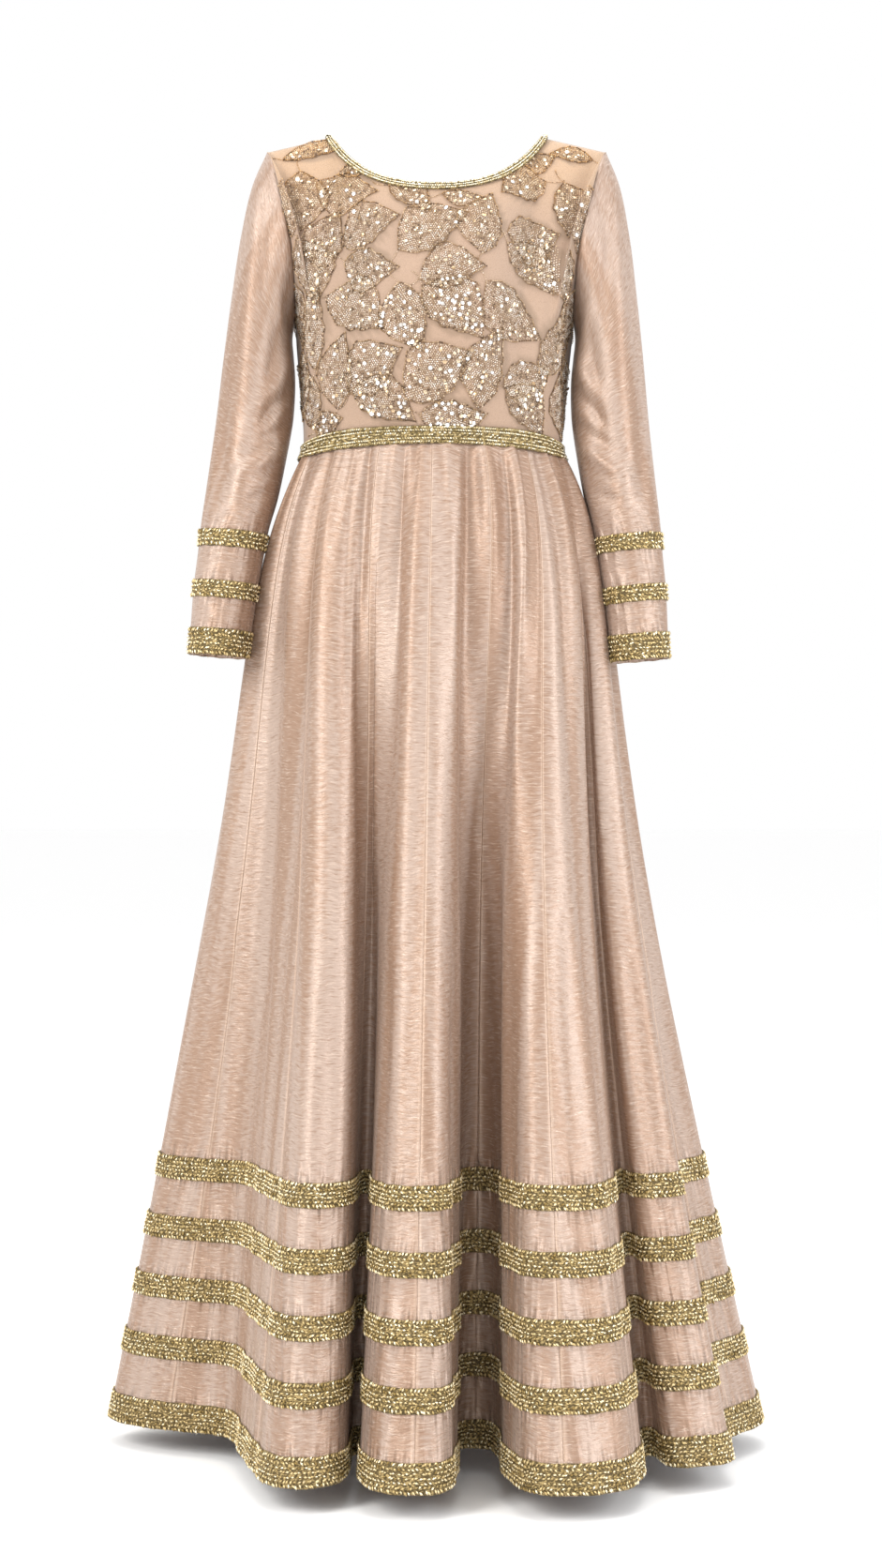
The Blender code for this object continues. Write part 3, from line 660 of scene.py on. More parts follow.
def braid_stitches(name, surface, count, rows, width, material, seed, wave=0.0005, loose=1.0):
    """Rows of slanted stitches over a braid. Surface gives points, ways and normals for shares
    of the way round and for heights above the braid's foot."""
    random_tones = np.random.default_rng(seed)
    parts = []
    for number, row in enumerate(rows):
        share = (np.arange(count) + 0.5 * (number % 2)) / count
        share = share + random_tones.uniform(-0.4, 0.4, count) * loose / count
        height = width * (1 - (number + 0.5) / len(rows)) + wave * np.sin(share * 97.0 + seed)
        height = height + loose * 0.0004 * random_tones.normal(size=count)
        points, along, normals = surface(share, height)
        across = np.cross(normals, along)
        slant = math.radians(row.slant)
        ways = along * math.cos(slant) + across * math.sin(slant)
        grain = np.broadcast_to(np.array((row.length, row.width, row.height)) * MM, points.shape)
        tone = np.clip(row.tone + random_tones.normal(size=count) * 0.32, 0.0, 1.0)
        # One stitch in ten is set to the brightest tone: painted glints on the metallic thread.
        tone = np.where(random_tones.random(count) < 0.10, 1.0, tone)
        parts.append((points, ways, normals, grain, tone))
    joined = [np.concatenate(column) for column in zip(*parts)]
    return strewn(name, *joined, material, size_spread=0.15 + 0.1 * loose,
                  turn_spread=0.2 + 0.15 * loose, seed=seed)


BRAID_THICKNESS = 0.0007


def braid_base(name, surface, count, width, rows=4, edge=0.0004):
    """The flat ground of a braid, with a slightly wavy edge, as a closed ring. Its dark colour is partly the
    braid's base thread and partly painted shade between the stitches.
    """
    share = (np.arange(count) / count)[None, :]
    height = np.linspace(width, 0.0, rows)[:, None] * np.ones((1, count))
    height[0] += edge * np.sin(share[0] * 610)
    height[-1] += edge * np.sin(share[0] * 540 + 2)
    points, _, _ = surface(share * np.ones((rows, 1)), height)
    return cloth(name, points, cloth_place(points, closed=True), braid_ground_and_gap_shade, {}, closed=True,
                 thickness=BRAID_THICKNESS)


def length_round(surface, width, count):
    """The length of a braid along its middle."""
    girth, _, _ = surface(np.linspace(0, 1, count), np.full(count, width / 2))
    return float(np.linalg.norm(np.diff(girth, axis=0), axis=1).sum())


def sewn_on(base, stitches, node, **cut):
    """Puts a braid's ground in its node's place, with its stitches on it."""
    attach(stitches, "root")
    worn(base, node, "gold_braid", held="stretched", with_pieces=[stitches], **cut)


# How far a braid's ground and its stitches stand off the cloth's own surface
GROUND_LIFT = 0.0012
STITCH_LIFT = 0.0018
STITCH_PITCH = 0.0039
for seed, band in enumerate(SKIRT_BANDS):
    def band_surface(share, height, out=GROUND_LIFT, band=band):
        return skirt_surface(share * KALIS, 1 - (band.foot + height) / SKIRT_HEIGHT, out)

    width = band.top - band.foot
    length = length_round(band_surface, width, 900)
    plait = HEM_PLAIT if band.name == "hem_trim" else PLAIT
    base = braid_base(band.name + "_ground", band_surface, 520, width)
    stitches = braid_stitches(band.name + "_stitches", partial(band_surface, out=STITCH_LIFT),
                              int(length / STITCH_PITCH), plait, width, olive_gold, seed + 3)
    sewn_on(base, stitches, band.name, flat=(length, width), rests_on=["kali_01"])


# ---- The bodice
# A front and a back panel of nude cloth under fine taupe net, joined at the shoulders and sides
# and sewn to the skirt at the waist. The net carries the beadwork.
Neckline = namedtuple("Neckline", "drop depth flat")
FRONT_NECK = Neckline(0.0658, 0.080, 0.060)
BACK_NECK = Neckline(0.050, 0.072, 0.075)
NECK_HALF_WIDTH = 0.112
NECK_SIDE_LEAN = 0.029
NECK_SIDE_STEEP = 0.045
NECK_SIDE_DEPTH = 0.72
SHOULDER_HALF_WIDTH = 0.181
SHOULDER_DROP = 0.016
ARMPIT_HALF_WIDTH = 0.148
ARMPIT_DROP = 0.190
ARMHOLE_HALF_DEPTH = 0.052
ARMHOLE_HOLLOW = 0.008
NECK_END = 6
SHOULDER_END = 8
ARMHOLE_END = 16
TURNS = (0.0, 36.0, 50.0, 90.0)
FRONT_BUST = 0.10
BACK_BLADE = 0.03
SHOULDER_REACH = 0.16
SHOULDER_SLOPE = 0.7
CENTRE_NECK_RISE = 0.20
CENTRE_NECK_REACH = 0.12
ARMPIT_REACH = 0.14
ARMHOLE_SPREAD = 0.5
ARMHOLE_LEAN = 0.24
BODICE_FULLNESS = 1.05


def stacked(*parts):
    return np.stack(np.broadcast_arrays(*parts), axis=-1)


def neck_curve(facing, share):
    """The neckline from its centre to the shoulder seam."""
    neck = FRONT_NECK if facing < 0 else BACK_NECK
    return bezier(
        np.array((0.0, facing * neck.depth, -neck.drop)),
        np.array((neck.flat, facing * neck.depth, -neck.drop)),
        np.array((NECK_HALF_WIDTH - NECK_SIDE_LEAN, facing * neck.depth * NECK_SIDE_DEPTH, -NECK_SIDE_STEEP)),
        np.array((NECK_HALF_WIDTH, 0.0, 0.0)),
        share[..., None],
    )


def armhole_point(angle, facing):
    """A point of the wearer's left armhole: angle 0 at the shoulder, pi under the arm."""
    upper = np.array((SHOULDER_HALF_WIDTH, 0.0, -SHOULDER_DROP))
    lower = np.array((ARMPIT_HALF_WIDTH, 0.0, -ARMPIT_DROP))
    bow = stacked(-ARMHOLE_HOLLOW, facing * ARMHOLE_HALF_DEPTH, 0.0)
    cosine = np.cos(angle)[..., None]
    return (upper + lower) / 2 + (upper - lower) / 2 * cosine + bow * np.sin(angle)[..., None]


def bodice_form(facing, step, rise):
    """Points of a bodice panel. Step runs from the wearer's right side seam (-16) over the centre
    (0) to the left one, and rise from the waist (0) to the top edge (1)."""
    step, rise = np.broadcast_arrays(step * 1.0, rise * 1.0)
    side = np.where(step < 0, -1.0, 1.0)
    step = np.abs(step)
    neck_share = np.clip(step / NECK_END, 0, 1)
    shoulder_share = np.clip((step - NECK_END) / (SHOULDER_END - NECK_END), 0, 1)
    armhole_share = np.clip((step - SHOULDER_END) / (ARMHOLE_END - SHOULDER_END), 0, 1)
    turn = np.radians(np.interp(step, (0, NECK_END, SHOULDER_END, ARMHOLE_END), TURNS))

    neck_edge = neck_curve(facing, neck_share)
    neck_rise = blend(SHOULDER_REACH * SHOULDER_SLOPE, CENTRE_NECK_RISE, np.sqrt(1 - neck_share))
    neck_arrive = stacked(0.0, -facing * blend(CENTRE_NECK_REACH, SHOULDER_REACH, neck_share), neck_rise)
    shoulder = armhole_point(np.zeros(1), facing)[0]
    shoulder_edge = blend(np.array((NECK_HALF_WIDTH, 0.0, 0.0)), shoulder, shoulder_share[..., None])
    shoulder_arrive = stacked(ARMHOLE_LEAN * shoulder_share, -facing, SHOULDER_SLOPE) * SHOULDER_REACH
    angle = math.pi * armhole_share
    over = np.cos(angle / 2) ** 2
    arm_edge = armhole_point(angle, facing)
    arm_arrive = stacked(
        ARMHOLE_SPREAD * np.sin(angle) + ARMHOLE_LEAN * over,
        -facing * over,
        np.sin(angle / 2) ** 3 + SHOULDER_SLOPE * over,
    ) * blend(SHOULDER_REACH, ARMPIT_REACH, armhole_share)[..., None]
    on_neck = (step <= NECK_END)[..., None]
    on_shoulder = (step <= SHOULDER_END)[..., None]
    edge = np.where(on_neck, neck_edge, np.where(on_shoulder, shoulder_edge, arm_edge))
    arrive = np.where(on_neck, neck_arrive, np.where(on_shoulder, shoulder_arrive, arm_arrive))

    depth = WAIST_FRONT if facing < 0 else WAIST_BACK
    waist_rise = WAIST_RISE * np.cos(turn) ** 2 if facing < 0 else 0.0
    waist = stacked(WAIST_HALF_WIDTH * np.sin(turn), facing * depth * np.cos(turn),
                    waist_rise - WAIST_DROP)
    reach = np.linalg.norm(edge - waist, axis=-1)
    lean = FRONT_BUST if facing < 0 else BACK_BLADE
    leave = stacked(0.0, facing * lean * np.cos(turn), reach * BODICE_FULLNESS)
    t = rise[..., None]
    points = (
        waist * (2 * t**3 - 3 * t**2 + 1)
        + leave * (t**3 - 2 * t**2 + t)
        + edge * (3 * t**2 - 2 * t**3)
        + arrive * (t**3 - t**2)
    )
    points[..., 0] *= side
    points[..., 0] += SWAY * np.minimum(-points[..., 2] / WAIST_DROP, 1.0)
    return points


def make_net():
    net = Paint("taupe net over nude cloth", Roughness=0.62, Sheen_Weight=0.3, Sheen_Roughness=0.5)
    place = net.node("TexCoord", {}, output=3)
    height = net.node("SeparateXYZ", {0: place}, output=2)
    # Warmer towards the shoulders, by height alone: painted warm light falling from above.
    painted_top_light = net.ranged(height, -0.12, -0.01)
    cloud = net.stretched(place, (14, 14, 9), Detail=3.0)
    pull = net.stretched(place, (70, 70, 5), Detail=2.0)
    holes = net.node("TexVoronoi", {"Vector": place, "Scale": 720.0}, feature="DISTANCE_TO_EDGE")
    thread = net.ranged(holes, 0.16, 0.04)
    colour = net.mixed(cloud, (0.355, 0.235, 0.160), (0.42, 0.285, 0.20))
    colour = net.mixed(painted_top_light * 0.8, colour, (0.50, 0.32, 0.18))
    colour = net.mixed(thread * 0.35, colour, (0.22, 0.145, 0.095))
    shade = net.node("Attribute", {}, output=2, attribute_name="leaf")
    colour = net.mixed(shade * 0.7, colour, (0.25, 0.165, 0.105))
    net.set("Base Color", colour)
    net.raise_by(thread * 0.15 + pull * 0.9)
    return net.material


nude_net = make_net()

# The leaves of the beadwork, in millimetres and degrees: how far to the side of the centre (past
# 150, round the cloth), how far below the shoulders, which way the tip points, the length and
# width, and the share of sequins
Leaf = namedtuple("Leaf", "along drop turn length width shine")
FRONT_LEAVES = tuple(Leaf(*row) for row in (
    (-124, 21, 12, 80, 27, 0.05), (-94, 14, 20, 48, 22, 0.05), (103, 28, 4, 50, 30, 0.05),
    (142, 25, 172, 46, 24, 0.05), (-148, 79, -92, 80, 52, 0.10), (-93, 65, -10, 78, 48, 0.06),
    (-111, 121, 74, 70, 46, 0.06), (-71, 114, 24, 70, 52, 0.10), (-70, 152, -9, 68, 46, 0.10),
    (-3, 119, 30, 84, 54, 0.08), (-28, 82, -38, 56, 32, 0.06), (27, 79, -5, 42, 20, 0.05),
    (53, 109, 76, 72, 48, 0.06), (99, 118, 8, 62, 52, 0.06), (91, 65, 196, 62, 46, 0.05),
    (96, 156, -42, 72, 44, 0.08), (141, 94, -84, 80, 52, 0.45), (17, 163, 12, 70, 48, 0.12),
    (17, 205, -40, 82, 58, 0.75), (-26, 210, -70, 76, 50, 0.70), (-83, 202, -28, 82, 58, 0.30),
    (79, 200, -40, 86, 54, 0.15), (-135, 155, -74, 74, 46, 0.08), (-127, 213, 84, 88, 44, 0.10),
    (135, 157, -62, 66, 44, 0.10), (123, 225, 68, 86, 46, 0.10), (-64, 263, 34, 76, 56, 0.40),
    (-99, 260, 82, 80, 44, 0.15), (-56, 299, -28, 76, 46, 0.45), (4, 270, 34, 86, 60, 0.50),
    (57, 260, 74, 88, 46, 0.35), (94, 268, 20, 62, 52, 0.15), (92, 304, -44, 72, 42, 0.30),
    (18, 309, 2, 70, 46, 0.85), (-129, 290, -80, 66, 46, 0.25), (130, 290, -74, 74, 42, 0.15),
    (-112, 316, 20, 42, 26, 0.50), (-172, 190, -84, 80, 44, 0.12), (170, 200, -96, 80, 44, 0.12),
    (-176, 268, -100, 74, 42, 0.15), (176, 276, -80, 74, 42, 0.15),
))
BACK_SHINE = 0.7
BACK_LEAVES = tuple(
    leaf._replace(along=-leaf.along, turn=180 - leaf.turn, shine=leaf.shine * BACK_SHINE)
    for leaf in FRONT_LEAVES
)

BODICE_COLUMNS = np.linspace(-ARMHOLE_END, ARMHOLE_END, 97)
BODICE_RISES = np.linspace(1.0, 0.0, 62)


def bodice_surface(facing, step, rise):
    def form(across, down):
        return bodice_form(facing, across, 1 - down)

    inside = np.clip(1 - rise, 0.004, 0.996)
    _, along, normals = surface_frame(form, np.clip(step, -15.98, 15.98), inside, 0.02, 0.003)
    return bodice_form(facing, step, rise), along * -facing, normals * -facing


bodice_grids = {}
bvh_points = []
bvh_quads = []
for facing in (-1, 1):
    steps = BODICE_COLUMNS if facing < 0 else BODICE_COLUMNS[::-1]
    grid = bodice_form(facing, steps[None, :], BODICE_RISES[:, None])
    bodice_grids[facing] = grid
    index = np.arange(grid.shape[0] * grid.shape[1]).reshape(grid.shape[:2]) + len(bvh_points)
    bvh_points += grid.reshape(-1, 3).tolist()
    corners = (index[:-1, :-1], index[1:, :-1], index[1:, 1:], index[:-1, 1:])
    bvh_quads += np.stack(corners, axis=-1).reshape(-1, 4).tolist()
bodice_tree = BVHTree.FromPolygons(bvh_points, bvh_quads)

# Arc length round the chest against the angle from the centre, for placing the leaves
CHEST_HALF_WIDTH = 0.145
CHEST_HALF_DEPTH = 0.100
chest_angles = np.linspace(0, math.pi / 2, 200)
chest_steps = np.hypot(CHEST_HALF_WIDTH * np.cos(chest_angles), CHEST_HALF_DEPTH * np.sin(chest_angles))
chest_steps *= chest_angles[1] - chest_angles[0]
chest_lengths = np.concatenate([[0.0], np.cumsum(chest_steps)[:-1]])

LeafPlace = namedtuple("LeafPlace", "centre out right up leaf")
FRONT_CLEARANCE = 0.3
LEAF_CLEARANCE = 0.03


def leaf_place(leaf, facing):
    """The leaf's centre on the bodice, straight ahead of its place or else round the chest, with
    the ways out of it, to its right and up it."""
    start = Vector((leaf.along * MM * -facing, facing * FRONT_CLEARANCE, -leaf.drop * MM))
    centre, out, _, _ = bodice_tree.ray_cast(start, Vector((0, -facing, 0)), FRONT_CLEARANCE)
    if centre is None:
        angle = np.interp(abs(leaf.along) * MM, chest_lengths, chest_angles) * (1 if leaf.along > 0 else -1)
        depth = CHEST_HALF_DEPTH * math.cos(angle)
        guess = Vector((CHEST_HALF_WIDTH * math.sin(angle) * -facing, facing * depth, -leaf.drop * MM))
        centre, out, _, _ = bodice_tree.find_nearest(guess)
    up = (Vector((0, 0, 1)) - out * out.z).normalized()
    return LeafPlace(centre, out, up.cross(out), up, leaf)


def half_width(leaf, share):
    """Half the leaf's width at a share of the way from its base to its tip."""
    share = min(max(share, 0.0), 1.0)
    wave = 1 + 0.05 * math.sin(share * 31 + leaf.along)
    return leaf.width / 2 * MM * math.sin(math.pi * share**0.80) ** 1.12 * wave


def leaf_bend(leaf, share):
    return 0.12 * leaf.length * MM * math.sin(math.pi * share) * (1 if leaf.along % 4 < 2 else -1)


def on_bodice(place, lengthwise, sideways):
    """The point of the cloth under a point of the leaf and its normal, or None past the edge."""
    turn = math.radians(place.leaf.turn)
    right = lengthwise * math.cos(turn) - sideways * math.sin(turn)
    up = lengthwise * math.sin(turn) + sideways * math.cos(turn)
    start = place.centre + place.right * right + place.up * up + place.out * LEAF_CLEARANCE
    hit, normal, _, _ = bodice_tree.ray_cast(start, -place.out, 2 * LEAF_CLEARANCE)
    return None if hit is None else (hit, normal)


def spread_way(place, normal, angle):
    """A way on the cloth at an angle to the leaf's own right."""
    way = place.right * math.cos(angle) + place.up * math.sin(angle)
    return (way - normal * way.dot(normal)).normalized()


leaf_places = {facing: [leaf_place(leaf, facing) for leaf in leaves]
               for facing, leaves in ((-1, FRONT_LEAVES), (1, BACK_LEAVES))}

for facing, name in ((-1, "bodice_front"), (1, "bodice_back")):
    grid = bodice_grids[facing]
    shade = np.zeros(grid.shape[:2])
    for place in leaf_places[facing]:
        away = grid - np.array(place.centre)
        right = away @ np.array(place.right)
        up = away @ np.array(place.up)
        near = np.abs(away @ np.array(place.out)) < LEAF_CLEARANCE
        turn = math.radians(place.leaf.turn)
        lengthwise = (right * math.cos(turn) + up * math.sin(turn)) / (place.leaf.length * MM)
        sideways = (up * math.cos(turn) - right * math.sin(turn)) / (place.leaf.width * MM)
        inside = near & (np.abs(lengthwise) < 0.44) & (np.abs(sideways) < 0.42 * np.cos(lengthwise * 3.2))
        shade[inside] = 1.0
    panel = cloth(name + "_net", grid, cloth_place(grid), nude_net, {"leaf": shade})
    worn(panel, name, "nude_net", flat=(0.47, 0.36), held="stretched", rests_on=["waist_trim"], area=0.115)


# ---- The beadwork
# Leaves of bugle beads inside a beaded cord, with silver and champagne sequins over them and
# thin beaded stems between, all sewn by hand to the net.
BEAD_PITCH = 0.00235
OUTLINE_PITCH = 0.0019
OUTLINE_STEPS_A_SIDE = 160
STEM_LENGTH = 0.020
SEQUIN_GAP = 0.0031

# Length, width and height of the beads in millimetres, and how far they stand off the net
FILLING_BEAD = (2.5, 1.45, 1.5)
OUTLINE_BEAD = (2.9, 2.1, 2.7)
STEM_BEAD = (2.2, 1.4, 1.6)
FILLING_LIFT = 0.0007
OUTLINE_LIFT = 0.0013
STEM_LIFT = 0.0008
SEQUIN_LIFT = 0.0021
SEQUIN_HEIGHT = 0.9


def make_beads():
    beads = Paint("gold and bronze beads", Metallic=0.45, Roughness=0.3)
    tone = beads.node("Attribute", {}, output=2, attribute_name="tone")
    place = beads.node("TexCoord", {}, output=3)
    height = beads.node("SeparateXYZ", {0: place}, output=2)
    stops = (
        (0.0, (0.10, 0.055, 0.025)), (0.20, (0.36, 0.23, 0.12)), (0.42, (0.62, 0.47, 0.32)),
        (0.70, (0.82, 0.69, 0.55)), (1.0, (0.98, 0.93, 0.86)),
    )
    colour = beads.node("ValToRGB", {0: tone}, stops=stops)
    # Beads towards the shoulders are tinted warmer, by height alone: painted warm light falling from above.
    painted_top_light = beads.ranged(height, -0.14, -0.02)
    colour = beads.mixed(painted_top_light * 0.8, colour, (1.0, 0.79, 0.46), blend_type="MULTIPLY")
    beads.set("Base Color", colour)
    return beads.material


def make_sequins():
    sequins = Paint("silver and champagne sequins", Metallic=0.9, Roughness=0.24)
    tone = sequins.node("Attribute", {}, output=2, attribute_name="tone")
    stops = (
        (0.0, (0.52, 0.36, 0.21)), (0.5, (0.76, 0.64, 0.50)),
        (0.62, (0.80, 0.76, 0.72)), (1.0, (1.0, 1.0, 1.0)),
    )
    sequins.set("Base Color", sequins.node("ValToRGB", {0: tone}, stops=stops))
    return sequins.material


def scaled_bead(bead, scale=1.0):
    """A bead's size in metres, longer and wider by a scale."""
    length, width, height = bead
    return length * scale * MM, width * scale * MM, height * MM


def between(value, low=0.0, high=1.0):
    return min(max(value, low), high)


gold_beads = make_beads()
silver_sequins = make_sequins()

for facing, name in ((-1, "front"), (1, "back")):
    chance = random.Random(21 + facing)
    beads = []
    sequins = []
    for place in leaf_places[facing]:
        leaf = place.leaf
        length = leaf.length * MM
        rows = int(length / (BEAD_PITCH * 0.87))
        for row in range(rows):
            share = (row + 0.5) / rows
            reach = half_width(leaf, share) - 0.0012
            middle = leaf_bend(leaf, share)
            count = int(reach / BEAD_PITCH)
            for column in range(-count - 1, count + 2):
                sideways = (column + 0.5 * (row % 2)) * BEAD_PITCH
                if abs(sideways) > reach:
                    continue
                lengthwise = (share - 0.5) * length + chance.uniform(-0.3, 0.3) * MM
                found = on_bodice(place, lengthwise, middle + sideways + chance.uniform(-0.3, 0.3) * MM)
                if found is None:
                    continue
                hit, normal = found
                angle = 5.0 * noise.noise(hit * 75.0) + chance.uniform(-0.5, 0.5)
                cluster = noise.noise(hit * 160.0)
                tone = between(0.60 + 0.7 * cluster + chance.gauss(0, 0.24))
                size = chance.uniform(0.85, 1.15)
                beads.append((hit + normal * FILLING_LIFT, spread_way(place, normal, angle), normal,
                              scaled_bead(FILLING_BEAD, size), tone))
        bright_side = 1 if leaf.drop % 4 < 2 else -1
        spots = [(share, bright_side * (half_width(leaf, share) - 0.0028))
                 for share in np.arange(0.14, 0.93, 0.046) if chance.random() < 0.5 * leaf.shine]
        spots += [(share, -bright_side * 0.002) for share in np.arange(0.2, 0.85, 0.05)
                  if chance.random() < 0.4 * leaf.shine]
        for _ in range(int(14 + 40 * leaf.shine)):
            share = chance.uniform(0.12, 0.90)
            spots.append((share, chance.uniform(-1, 1) * max(half_width(leaf, share) - 0.004, 0.0)))
        taken = []
        for share, sideways in spots:
            spot = Vector(((share - 0.5) * length, leaf_bend(leaf, share) + sideways))
            if any((spot - other).length < SEQUIN_GAP for other in taken):
                continue
            taken.append(spot)
            found = on_bodice(place, spot.x, spot.y)
            if found is None:
                continue
            hit, normal = found
            tilt = Vector((chance.gauss(0, 0.26), chance.gauss(0, 0.26), chance.gauss(0, 0.26)))
            size = chance.uniform(3.4, 4.8) * MM
            silver = chance.random() < 0.08 + 0.7 * leaf.shine
            tone = chance.uniform(0.6, 1.0) if silver else chance.uniform(0.0, 0.5)
            sequins.append((hit + normal * SEQUIN_LIFT, spread_way(place, normal, 0.0),
                            (normal + tilt).normalized(), (size, size, SEQUIN_HEIGHT * MM), tone))
        shares = [number / OUTLINE_STEPS_A_SIDE for number in range(OUTLINE_STEPS_A_SIDE + 1)]
        edge = [(share, 1) for share in shares] + [(share, -1) for share in reversed(shares[:-1])]
        travelled = 0.0
        before = None
        for share, side in edge:
            spot = Vector(((share - 0.5) * length, leaf_bend(leaf, share) + side * half_width(leaf, share)))
            if before is not None:
                travelled += (spot - before).length
            along = spot - before if before is not None else Vector((0, 1))
            before = spot
            if travelled < OUTLINE_PITCH:
                continue
            travelled = 0.0
            found = on_bodice(place, spot.x, spot.y)
            if found is None:
                continue
            hit, normal = found
            angle = math.atan2(along.y, along.x) + math.radians(leaf.turn) + 0.5
            tone = between(chance.gauss(0.19, 0.14))
            beads.append((hit + normal * OUTLINE_LIFT, spread_way(place, normal, angle), normal,
                          scaled_bead(OUTLINE_BEAD), tone))
        for number in range(int(STEM_LENGTH / OUTLINE_PITCH)):
            back = number * OUTLINE_PITCH
            sideways = 0.006 * math.sin(back / STEM_LENGTH * 2.2) * (1 if leaf.drop % 4 < 2 else -1)
            found = on_bodice(place, -length / 2 - back, sideways)
            if found is None:
                continue
            hit, normal = found
            beads.append((hit + normal * STEM_LIFT, spread_way(place, normal, math.radians(leaf.turn) + 0.4),
                          normal, scaled_bead(STEM_BEAD), between(chance.gauss(0.36, 0.15))))
    beadwork = strewn(f"bead_leaves_{name}", *(np.array(column) for column in zip(*beads)), gold_beads,
                      size_spread=0.15, turn_spread=0.3, seed=5)
    sparkle = strewn(f"sequins_{name}", *(np.array(column) for column in zip(*sequins)), silver_sequins,
                     sides=8, size_spread=0.1, turn_spread=0.5, smooth=False, seed=8)
    for piece in (beadwork, sparkle):
        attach(piece, "root")


# ---- The waist braid
# Five fine plaited cords of pale green-gold thread, side by side over the seam between the
# bodice and the skirt, and sewn to both.
WAIST_BRAID = 0.018
WAIST_GROUND_LIFT = 0.0022
WAIST_STITCH_LIFT = 0.0028
WAIST_PITCH = 0.0022
PANEL_LENGTH = 0.36
pale_gold = make_gold_thread("pale green gold thread",
                             (0.27, 0.20, 0.07), (0.66, 0.54, 0.30), (1.0, 0.94, 0.76))


def waist_surface(share, height, out=WAIST_GROUND_LIFT):
    """Share runs round from the centre front, and height from the braid's foot."""
    turn = (share * math.tau + math.pi) % math.tau - math.pi
    above = height - WAIST_BRAID / 2
    is_front = np.abs(turn) < math.pi / 2
    from_centre = np.where(is_front, np.abs(turn), math.pi - np.abs(turn))
    step = np.interp(np.degrees(from_centre), TURNS, (0, NECK_END, SHOULDER_END, ARMHOLE_END)) * np.sign(turn)
    rise = np.maximum(above, 0.0) / PANEL_LENGTH
    front = bodice_surface(-1, step, rise)
    back = bodice_surface(1, step, rise)
    drop = np.maximum(-above, 0.0) / SKIRT_HEIGHT + SKIRT_STEPS[1]
    skirt = surface_frame(skirt_form, share * KALIS, drop, *SKIRT_STEPS)
    result = []
    for on_front, on_back, on_skirt in zip(front, back, skirt):
        on_bodice_side = np.where(is_front[..., None], on_front, on_back)
        result.append(np.where((above > 0)[..., None], on_bodice_side, on_skirt))
    points, along, normals = result
    level = unit(normals * np.array((1.0, 1.0, 0.0)))
    return points + level * out, along, level


CORDS = tuple(StitchRow(slant, 4.0, 2.3, 2.2, tone) for slant, tone in (
    (30, 0.50), (-30, 0.62), (30, 0.55), (-30, 0.66), (30, 0.52)))
waist_length = 0.745
base = braid_base("waist_trim_ground", waist_surface, 240, WAIST_BRAID, rows=6, edge=0.0)
stitches = braid_stitches("waist_trim_stitches", partial(waist_surface, out=WAIST_STITCH_LIFT),
                          int(waist_length / WAIST_PITCH), CORDS, WAIST_BRAID, pale_gold, 31,
                          wave=0.0, loose=0.1)
sewn_on(base, stitches, "waist_trim", flat=(waist_length, WAIST_BRAID), rests_on=["bodice_front"])


# ---- The neck braid
# Three fine cords of pale gold thread with small beads, 9 mm wide in all, which bind the
# neckline from its edge down.
NECK_BRAID = 0.009
NECK_GROUND_LIFT = 0.0021
NECK_STITCH_LIFT = 0.0027
NECK_PITCH = 0.0021
LEAST_WIDTH = 0.010
SEAM_REACH = 1.2


def neck_surface(share, height, out=NECK_GROUND_LIFT):
    """Share runs from the wearer's right shoulder over the front to the left one and round the
    back. Height is measured from the braid's lower edge."""
    place = share % 1.0 * 4
    is_front = place < 2
    step = np.where(is_front, (place - 1) * NECK_END, (3 - place) * NECK_END)
    points = []
    for side_facing in (-1, 1):
        on_edge, along, normals = bodice_surface(side_facing, step, np.ones_like(step))
        at_seam = np.clip((np.abs(step) - NECK_END + SEAM_REACH) / SEAM_REACH, 0, 1)[..., None]
        normals = unit(normals * blend(1.0, np.array((1.0, 0.0, 1.0)), at_seam))
        falling = unit(np.cross(along, normals))
        points.append((on_edge + falling * (NECK_BRAID - height)[..., None] + normals * out, along, normals))
    return tuple(np.where(is_front[..., None], front, back) for front, back in zip(*points))


NECK_CORDS = tuple(StitchRow(slant, 3.2, 2.1, 2.2, tone) for slant, tone in (
    (40, 0.74), (-20, 1.0), (40, 0.74)))
neck_length = 0.68
base = braid_base("neck_trim_ground", neck_surface, 200, NECK_BRAID, rows=3, edge=0.0)
stitches = braid_stitches("neck_trim_stitches", partial(neck_surface, out=NECK_STITCH_LIFT),
                          int(neck_length / NECK_PITCH), NECK_CORDS, NECK_BRAID, pale_gold, 41,
                          wave=0.0, loose=0.2)
sewn_on(base, stitches, "neck_trim", flat=(neck_length, LEAST_WIDTH), rests_on=["bodice_front"],
        area=neck_length * NECK_BRAID)


# ---- The sleeves
# Long fitted sleeves of the same silk, each cut in one piece with its seam under the arm and
# set into the armhole. Soft creases run down from the shoulder and round the elbow.
RIGHT_SWING = 0.030
RIGHT_LIFT = 0.008
Ring = namedtuple("Ring", "name outer_drop outer_x inner_drop inner_x forward half_depth")
SLEEVE_RINGS = (
    Ring("cap", 50, 194, 213, 147.5, 0, 56),
    Ring("upper arm", 105, 205, 236, 145.5, 1, 56),
    Ring("biceps", 170, 213, 262, 143.0, 2, 53),
    Ring("above the elbow", 240, 220, 300, 143.5, 4, 49),
    Ring("elbow", 310, 226, 345, 149.5, 8, 45),
    Ring("forearm", 370, 232, 390, 157.0, 16, 41),
    Ring("band 1 top", 424, 237, 430, 166.0, 28, 38),
    Ring("band 1 foot", 442, 238, 448, 168.5, 31, 38),
    Ring("band 2 top", 478, 241, 484, 173.5, 36, 37),
    Ring("band 2 foot", 496, 242, 502, 175.5, 38, 37),
    Ring("cuff top", 529, 243, 534, 179.0, 42, 36),
    Ring("cuff foot", 557, 244, 562, 182.0, 45, 36),
)
